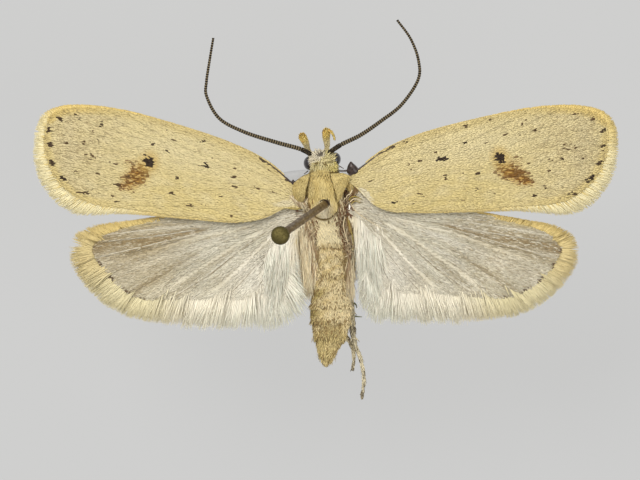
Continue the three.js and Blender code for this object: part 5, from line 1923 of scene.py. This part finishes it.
def tegula(side, dice):
    """A shoulder plate: a thin crowned leaf between its two borders, covered in long flat scales."""
    inner, outer = Curve(TEGULAE[side]["inner"]), Curve(TEGULAE[side]["outer"])

    def place(a, b, above=0.0):
        """a runs from front to rear and b from the inner to the outer border, each from 0 to 1."""
        crown = 0.24 * np.clip(b * (1 - b), 0, 1) ** 0.8 * smooth(0, 0.25, a) * smooth(1.0, 0.75, a)
        base = inner.at(a) + (outer.at(a) - inner.at(a)) * b[..., None]
        return base + np.array([0, 0, 1.0]) * (crown + above)[..., None]

    rows, columns = 33, 17
    a, b = np.meshgrid(np.linspace(0, 1, rows), np.linspace(0, 1, columns), indexing="ij")
    top, bottom = place(a.ravel(), b.ravel(), 0.012), place(a.ravel(), b.ravel(), -0.05)
    leaf = plate(top, bottom, rows, columns, even(THORAX_WARM * 0.8, rows * columns))
    a, b = np.meshgrid(np.arange(0.0, 0.9, 0.035), np.arange(0.03, 0.98, 0.055), indexing="ij")
    a = np.clip(a.ravel() + dice.normal(0, 0.012, a.size), 0, 0.93)
    b = np.clip(b.ravel() + dice.normal(0, 0.018, b.size), 0.02, 0.98)
    here = place(a, b, 0.012)
    along = unit(place(a + 0.03, b) - place(np.maximum(a - 0.03, 0), b))
    across = place(a, b + 0.02) - place(a, b - 0.02)
    up = unit(np.cross(across, along))
    up = up * np.sign(up[:, 2:3])
    colour = blend(even(THORAX_TAN, len(a)), THORAX_WARM, 0.4 * dice.random(len(a)) + 0.4 * b)
    colour = colour * dice.normal(1.0, 0.035, (len(a), 1))
    room = (1.04 - a) * inner.length
    length = np.minimum(0.22 * dice.uniform(0.8, 1.2, len(a)), room)
    coat = blades(
        here, along, up, length, 0.026 * dice.uniform(0.8, 1.2, len(a)), colour,
        np.stack([b * 0.9 + 0.05, a * 0.9 + 0.05], -1), shape=LOCK,
        rise=0.05 * dice.uniform(0.5, 1.5, len(a)), curl=-0.04, thick=0.12, shade=(0.9, 0.99, 1.02, 1.04),
    )
    return leaf, coat


def lumpy(points):
    """A hinge plate's form: uneven, drawn out to a blunt point in front."""
    x, y, z = points.T
    lump = 1 + 0.1 * mottle(x, y + z, 1.0, 41)
    narrow = np.interp(y, [-1, -0.4, 0.3, 1], [1.25, 1.1, 0.75, 0.45])
    return np.stack([x * narrow - 0.3 * np.maximum(y, 0), y, z], -1) * lump[:, None]


def crumpled(points):
    """A ball of soft cuticle, dried into folds."""
    x, y, z = points.T
    folds = mottle(x + 0.4 * z, 0.5 * y, 0.5, 43)
    return points * (1 + 0.13 * folds)[:, None]


# Bare dark threads of cuticle at the wing roots and behind the eyes: centre lines, radii at both ends.
HINGE_RODS = [
    ([(0.42, 2.17, 0.05), (0.55, 2.1, 0.12), (0.67, 2.03, 0.2)], 0.024, 0.012),
    ([(0.46, 1.95, 0.3), (0.6, 1.94, 0.34), (0.78, 1.95, 0.36)], 0.022, 0.034),
    ([(-0.6, 1.95, 0.1), (-0.68, 1.89, 0.14), (-0.75, 1.83, 0.14)], 0.022, 0.012),
    ([(-0.56, 1.85, 0.4), (-0.82, 1.73, 0.44), (-1.1, 1.52, 0.44)], 0.014, 0.024),
]
# A forewing's stout front vein, bare near the hinge, in wing space.
COSTA_ROD = [(-0.2, 0.1), (0.3, 0.3), (0.9, 0.57), (1.6, 0.84), (2.4, 1.02)]
# Ribs and folds at the hindwings' roots: line, radius and tone.
ROOT_RIBS = [
    ([(0.86, 0.88, 0.18), (0.93, 0.99, 0.22), (1.1, 1.02, 0.24), (1.32, 0.92, 0.22)], 0.024, "olive"),
    ([(0.9, 0.82, 0.2), (0.98, 0.91, 0.23), (1.12, 0.94, 0.24), (1.3, 0.85, 0.22)], 0.02, "cream"),
    ([(0.95, 0.76, 0.2), (1.03, 0.84, 0.22), (1.14, 0.86, 0.23), (1.27, 0.79, 0.22)], 0.02, "olive"),
    ([(0.93, 0.76, 0.2), (1.1, 0.5, 0.2), (1.5, 0.2, 0.2), (2.0, -0.1, 0.2)], 0.012, "cream"),
    ([(0.98, 1.26, 0.36), (0.9, 1.12, 0.34), (0.8, 1.06, 0.34), (0.76, 0.96, 0.36)], 0.02, "cream"),
    ([(0.72, 0.98, 0.36), (0.66, 0.86, 0.36), (0.62, 0.78, 0.36)], 0.014, "cream"),
    ([(0.84, 0.2, 0.26), (0.9, -0.1, 0.24), (1.0, -0.5, 0.2), (1.0, -0.9, 0.16)], 0.02, "olive"),
    ([(0.72, 0.3, 0.3), (0.66, 0.0, 0.3), (0.72, -0.3, 0.26), (0.84, -0.7, 0.2)], 0.018, "cream"),
    ([(-1.42, 0.66, 0.36), (-1.2, 0.58, 0.38), (-0.95, 0.57, 0.38), (-0.72, 0.67, 0.36)], 0.02, "olive"),
]
RIB_TONES = {"olive": RIB_OLIVE, "cream": FIBRE_CREAM}
# Soft cuticle between the shoulder plates and the wings: middles, half sizes and colours.
ROOT_PADS = [
    ((0.9, 1.52, 0.14), (0.16, 0.34, 0.2), PAD_STRAW),
    ((-1.08, 1.15, 0.16), (0.16, 0.26, 0.18), PAD_STRAW),
    ((1.02, 1.26, 0.06), (0.18, 0.22, 0.12), PAD_BROWN),
    ((0.92, 0.2, -0.02), (0.14, 0.5, 0.1), PAD_TAN),
]
# How many fibres each cavity has, and how pale they are: the power of a share of 0 to 1.
FIBRES = [(200, 1.2), (70, 0.6)]


def rod(points, start, end, tint, rows=17, sides=8):
    """A tube of one colour, blunt at its start, from one radius to another."""
    share = np.linspace(0, 1, rows)
    radius = start + (end - start) * share
    radius[0] *= 0.6
    return tube(Curve(points), share, radius, even(tint, rows), sides)


def pad_coat(dice, count):
    """Scales over the pads at the wing roots, pointing back and out."""
    parts = []
    for number, (middle, half, tint) in enumerate(ROOT_PADS):
        normal = unit(dice.normal(0, 1, (count, 3)))
        up = unit(normal / half)
        lie = np.array([0.4 * np.sign(middle[0]), -1.0, -0.1]) + dice.normal(0, 0.12, (count, 3))
        colour = tint * dice.normal(1.05, 0.07, (count, 1))
        round_it = np.arctan2(normal[:, 0], normal[:, 2]) / FULL_TURN + 0.5
        down_it = np.arccos(normal[:, 1]) / math.pi
        places = np.stack([(number + 0.05 + 0.9 * round_it) / len(ROOT_PADS), on_map(down_it)], -1)
        length = 0.13 * dice.uniform(0.7, 1.25, count)
        parts.append(blades(
            middle + normal * half * 0.98, laid(lie, up), up, length, 0.024, colour, places, shape=LOCK,
            rise=0.1, curl=-0.06, thick=0.12, shade=(0.8, 0.98, 1.03, 1.05),
        ))
    return join(parts)


def tongue():
    """The tongue, coiled under the face."""
    share = np.linspace(0, 1, 70)
    turn = 2.2 - 2.3 * FULL_TURN * share
    coil = 0.13 - 0.095 * share
    line = np.stack([-0.17 + 0 * turn, 2.6 + coil * np.cos(turn), -0.5 + coil * np.sin(turn)], -1)
    return tube(Curve(line, steps=2), share, 0.034 - 0.02 * share, even(TONGUE_BROWN, len(share)), sides=8)


def torn_fibres(dice):
    """Short fibres and flakes of cuticle along the cavities beside the waist."""
    parts = [rod(line, radius, radius * 0.6, RIB_TONES[tone]) for line, radius, tone in ROOT_RIBS]
    parts.append(ball((0.88, 0.65, 0.3), (0.034, 0.09, 0.04), FLECK_WHITE, sides=14, rows=10))
    parts += [ball(place, half, tint, sides=44, rows=30, shape=crumpled) for place, half, tint in ROOT_PADS]
    for line, (count, paleness) in zip(CAVITIES, FIBRES):
        path = Curve(line)
        for _ in range(count):
            share = dice.uniform(0, 0.92)
            x, y = path.at(share)
            x, y = x + dice.normal(0, 0.08), y + dice.normal(0, 0.06)
            z = max(body.top(x, np.array(y)), 0.16) + abs(dice.normal(0.01, 0.03))
            way = path.heading(share) * dice.choice([-1, 1]) * 0.8 + dice.normal(0, 0.5, 2)
            length = dice.uniform(0.08, 0.3)
            middle = np.array([x, y, z])
            step = np.array([*way, dice.normal(0, 0.2)]) * length / 2
            bend = dice.normal(0, 0.035, 3)
            # A fibre's tint lies between the cavities' painted shade brown and cream.
            tint = blend(CAVITY_SHADE_BROWN, FIBRE_CREAM, dice.random() ** paleness) * dice.uniform(0.6, 1.1)
            radius = dice.uniform(0.008, 0.024)
            parts.append(rod([middle - step, middle + bend, middle + step], radius, radius * 0.5, tint, 6, 6))
    return join(parts)


# A painted shadow round the pin, to its front and right, as a dark ring where it meets the back.
PIN_SHADOW_RING = [(-0.19, 0.82), (-0.11, 0.885), (0.02, 0.885), (0.11, 0.81), (0.14, 0.71), (0.12, 0.62)]
# The dark front edge of the back, behind the collar.
FRONT_RIM = [(-0.2, 1.76), (-0.1, 1.86), (0.08, 1.89), (0.26, 1.875), (0.42, 1.92), (0.6, 1.94)]


# Dark rims of the back, and the pin's ring of painted shadow: line, the span of it that is drawn, radius,
# height over the back, and colour.
RIMS = [
    (SHIELD, (0.3, 0.8), 0.032, 0.014, RIM_OLIVE * 0.75),
    (FRONT_RIM, (0.0, 1.0), 0.016, 0.06, RIM_OLIVE * 0.8),
    (PIN_SHADOW_RING, (0.0, 1.0), 0.03, 0.1, GAP_BROWN),
]


def back_rims():
    """The dark edges of cuticle round the shield's rear and across its front, and a ring of painted shadow
    round the pin.
    """
    rims = []
    steps = 90
    for line, span, thick, above, tint in RIMS:
        x, y = Curve(line, steps=8).at(np.linspace(*span, steps)).T
        radius = thick * np.sin(math.pi * np.linspace(0.02, 0.98, steps)) ** 0.5
        path = Curve(np.stack([x, y, body.top(x, y) + above], -1), steps=2)
        rims.append(tube(path, np.linspace(0, 1, steps), radius, even(tint, steps), sides=8))
    return join(rims)


def make_hard_parts(horn, eye, fibre, dice):
    """Eyes, hinge plates, the wing roots' bare cuticle, and the tongue."""
    for side in SIDES:
        globe = ball(EYES[side], EYE_HALF, EYE_TINT, sides=44, rows=30)
        new_piece(f"eye_globe_{side}", globe, eye, [f"eye_{side}"])
        lump = ball(*HINGE_PLATES[side], HORN_TINT, sides=28, rows=18, shape=lumpy)
        new_piece(f"hinge_plate_{side}", lump, horn, [f"wing_hinge_{side}"])
    parts = [rod(line, start, end, ROOT_DARK) for line, start, end in HINGE_RODS]
    for side in SIDES:
        wing = Wing("forewing", side)
        x, y = Curve(COSTA_ROD).at(np.linspace(0, 1, 20)).T
        parts.append(rod(wing.place(x, y - 0.04), 0.04, 0.01, ROOT_DARK))
    new_piece("wing_root_rods", join(parts), horn)
    new_piece("torn_fibres", join([torn_fibres(dice), back_rims()]), fibre)
    new_piece("tongue", tongue(), fibre)


# ---------------------------------------------------------------- pin and foot

STEEL_TINT = linear(150, 148, 140)
BRASS_TINT = linear(140, 125, 75)
STONE_TINT = linear(205, 206, 207)
# How far the pin's head stands clear of its shaft, and how far its profile goes either way, in half turns.
PIN_HEAD_GAP = 0.04
PIN_HEAD_ROUND = 0.47


def lathe(profile, entry, way, tint, sides=40):
    """A turned form about a line: its profile gives radius and height, from bottom to top."""
    radius, height = np.array(profile).T
    side = unit(np.cross(way, [0.0, 1.0, 0.0]))
    up = np.cross(side, way)
    turn = np.arange(sides) / sides * FULL_TURN
    ring = side * np.cos(turn)[:, None] + up * np.sin(turn)[:, None]
    points = entry + way * height[:, None, None] + ring[None] * radius[:, None, None]
    points = np.vstack([points.reshape(-1, 3), entry + way * height[0], entry + way * height[-1]])
    return outward((points, capped_faces(len(profile), sides), even(tint, len(points)), None))


def make_pin(steel, brass):
    """The pin's leaning shaft, and its head."""
    way = unit(np.array(PIN_LEAN))
    entry = np.array(PIN_ENTRY)
    below = (BODY_LEVEL + PIN_ENTRY[2] - PIN_FOOT_LEVEL) / way[2]
    shaft = [(PIN_RADIUS, height) for height in np.linspace(-below, PIN_ABOVE, 12)]
    new_piece("pin_rod", lathe(shaft, entry, way, STEEL_TINT), steel, ["pin_shaft"])
    half = PIN_HEAD_DEPTH / 2
    middle = PIN_ABOVE + PIN_HEAD_GAP + half
    knob = [
        (PIN_HEAD_RADIUS * math.cos(turn) ** 0.7, middle + half * math.sin(turn))
        for turn in np.linspace(-PIN_HEAD_ROUND, PIN_HEAD_ROUND, 21) * math.pi
    ]
    new_piece("pin_knob", lathe(knob, entry, way, BRASS_TINT), brass, ["pin_head"])


def make_foot(stone):
    """The oval foot, with a rounded upper edge."""
    half_width, half_depth, height = FOOT_SIZE
    rim = [(1.0, 0.0), (1.0, height - FOOT_BEVEL)]
    for turn in np.linspace(0, math.pi / 2, 9)[1:]:
        inset = FOOT_BEVEL / half_depth * (1 - math.cos(turn))
        rim.append((1 - inset, height - FOOT_BEVEL + FOOT_BEVEL * math.sin(turn)))
    upright = np.array([0.0, 0.0, 1.0])
    points, faces, colours, _ = lathe(rim, np.zeros(3), upright, STONE_TINT, sides=96)
    points = points * [half_width, half_depth, 1] - [0, 0, BODY_LEVEL]
    new_piece("foot_plate", (points, faces, colours, None), stone, ["stand_base"])


# ---------------------------------------------------------------- stage

# The floor's half size in metres, and how much of its tone it glows with and reflects.
FLOOR_SIZE = 0.6
FLOOR_TONE = (204, 204, 203)
FLOOR_GLOW = 0.87
FLOOR_REFLECTS = 0.12
FOOT_TONE = (184, 184, 183)
SKY_STRENGTH = 0.62
# Round lamps that face the moth: place and width in metres, and power.
LAMPS = {
    "key": ((-0.14, 0.16, 0.32), 0.2, 0.95),
    "fill": ((0.2, -0.12, 0.3), 0.25, 0.4),
}
CAMERA_DISTANCE = 150.0
CAMERA_AIM = (-0.18, -0.54)
WING_PLANE = 0.45
VIEW_WIDTH = 22.97
SENSOR = 36.0


def make_floor():
    """A plain pale card under the foot."""
    mesh = bpy.data.meshes.new("floor")
    corners = [(x * FLOOR_SIZE, y * FLOOR_SIZE, 0) for x, y in ((-1, -1), (1, -1), (1, 1), (-1, 1))]
    mesh.from_pydata(corners, [], [(0, 1, 2, 3)])
    floor = bpy.data.objects.new("floor", mesh)
    bpy.context.scene.collection.objects.link(floor)
    material = bpy.data.materials.new("floor_card")
    material.use_nodes = True
    shader = material.node_tree.nodes["Principled BSDF"]
    shader.inputs["Roughness"].default_value = 0.9
    shader.inputs["Specular IOR Level"].default_value = 0.1
    tone = linear(*FLOOR_TONE)
    shader.inputs["Base Color"].default_value = (*(tone * FLOOR_REFLECTS), 1)
    shader.inputs["Emission Color"].default_value = (*tone, 1)
    shader.inputs["Emission Strength"].default_value = FLOOR_GLOW
    mesh.materials.append(material)


def make_light(name, place, size, power):
    """A round lamp that faces the moth."""
    light = bpy.data.lights.new(name, "AREA")
    light.shape = "DISK"
    light.size = size
    light.energy = power
    lamp = bpy.data.objects.new(name, light)
    bpy.context.scene.collection.objects.link(lamp)
    lamp.location = place
    aim = np.array([0.0, 0.0, BODY_LEVEL * MM]) - np.array(place)
    pitch = math.acos(-aim[2] / np.linalg.norm(aim))
    lamp.rotation_euler = (pitch, 0, math.atan2(aim[1], aim[0]) - math.pi / 2)


def make_stage():
    """Floor, sky, lamps and camera."""
    make_floor()
    world = bpy.data.worlds.new("studio")
    bpy.context.scene.world = world
    world.use_nodes = True
    sky = world.node_tree.nodes["Background"]
    sky.inputs["Color"].default_value = (1, 1, 1, 1)
    sky.inputs["Strength"].default_value = SKY_STRENGTH
    for name, (place, size, power) in LAMPS.items():
        make_light(name, place, size, power)
    camera_data = bpy.data.cameras.new("camera")
    camera_data.sensor_width = SENSOR
    camera_data.lens = SENSOR * CAMERA_DISTANCE / VIEW_WIDTH
    camera_data.clip_start = 0.01
    camera_data.clip_end = 5
    camera = bpy.data.objects.new("camera", camera_data)
    camera.location = (
        CAMERA_AIM[0] * MM, CAMERA_AIM[1] * MM, (BODY_LEVEL + WING_PLANE + CAMERA_DISTANCE) * MM,
    )
    bpy.context.scene.collection.objects.link(camera)
    bpy.context.scene.camera = camera
    bpy.context.scene.view_settings.view_transform = "Standard"


# ---------------------------------------------------------------- the model

wing_skin = scaly("wing_membrane", rough=(0.5, 0.7), contrast=0.05)
body_skin = scaly("body_skin", rough=(0.5, 0.75), contrast=0.1)
wing_coats = {
    "forewing": scaly("forewing_scales", rough=(0.45, 0.62), contrast=0.06, specular=0.35),
    "hindwing": scaly("hindwing_scales", rough=(0.32, 0.5), contrast=0.05, specular=0.5, sheen=0.1),
}
silk = scaly("fringe_silk", rough=(0.4, 0.55), contrast=0.05, specular=0.4)
body_coat = scaly("body_scales", rough=(0.45, 0.65), contrast=0.1)
horn = glossy_cuticle("horn", (74, 58, 50), (34, 24, 20))

make_wings(wing_skin, wing_coats, silk)
make_skin(body_skin)
head_parts = [
    head_coat(rng), face_coat(rng, FACE_SCALES), brow_tufts(rng, BROW_SCALES), collar_coat(rng),
]
new_piece("head_scales", join(head_parts), body_coat)
new_piece("thorax_scales", join([thorax_coat(rng), waist_coat(rng)]), body_coat)
new_piece("wing_root_tufts", root_tufts(rng), silk)
new_piece("root_pad_scales", pad_coat(rng, PAD_SCALES), body_coat)
new_piece("abdomen_scales", abdomen_coat(rng), body_coat)
for side_name in SIDES:
    shell, shell_coat = tegula(side_name, rng)
    new_piece(f"shoulder_plate_{side_name}", shell, body_skin, [f"tegula_{side_name}"])
    new_piece(f"shoulder_scales_{side_name}", shell_coat, body_coat)
make_legs(body_coat, scaly("spur", rough=(0.35, 0.5)))
make_palps(body_coat)
make_feelers(scaly("feeler", rough=(0.45, 0.65), contrast=0.1, specular=0.15), rng)
make_hard_parts(horn, eye_material(), scaly("wing_root_fibres", rough=(0.3, 0.5), contrast=0.15), rng)
make_pin(
    metal("pin_steel", (134, 112, 80), (88, 71, 48), 0.45),
    metal("pin_brass", (120, 109, 66), (74, 67, 40), 0.58),
)
make_foot(plain_stone("foot_stone", FOOT_TONE))
make_stage()
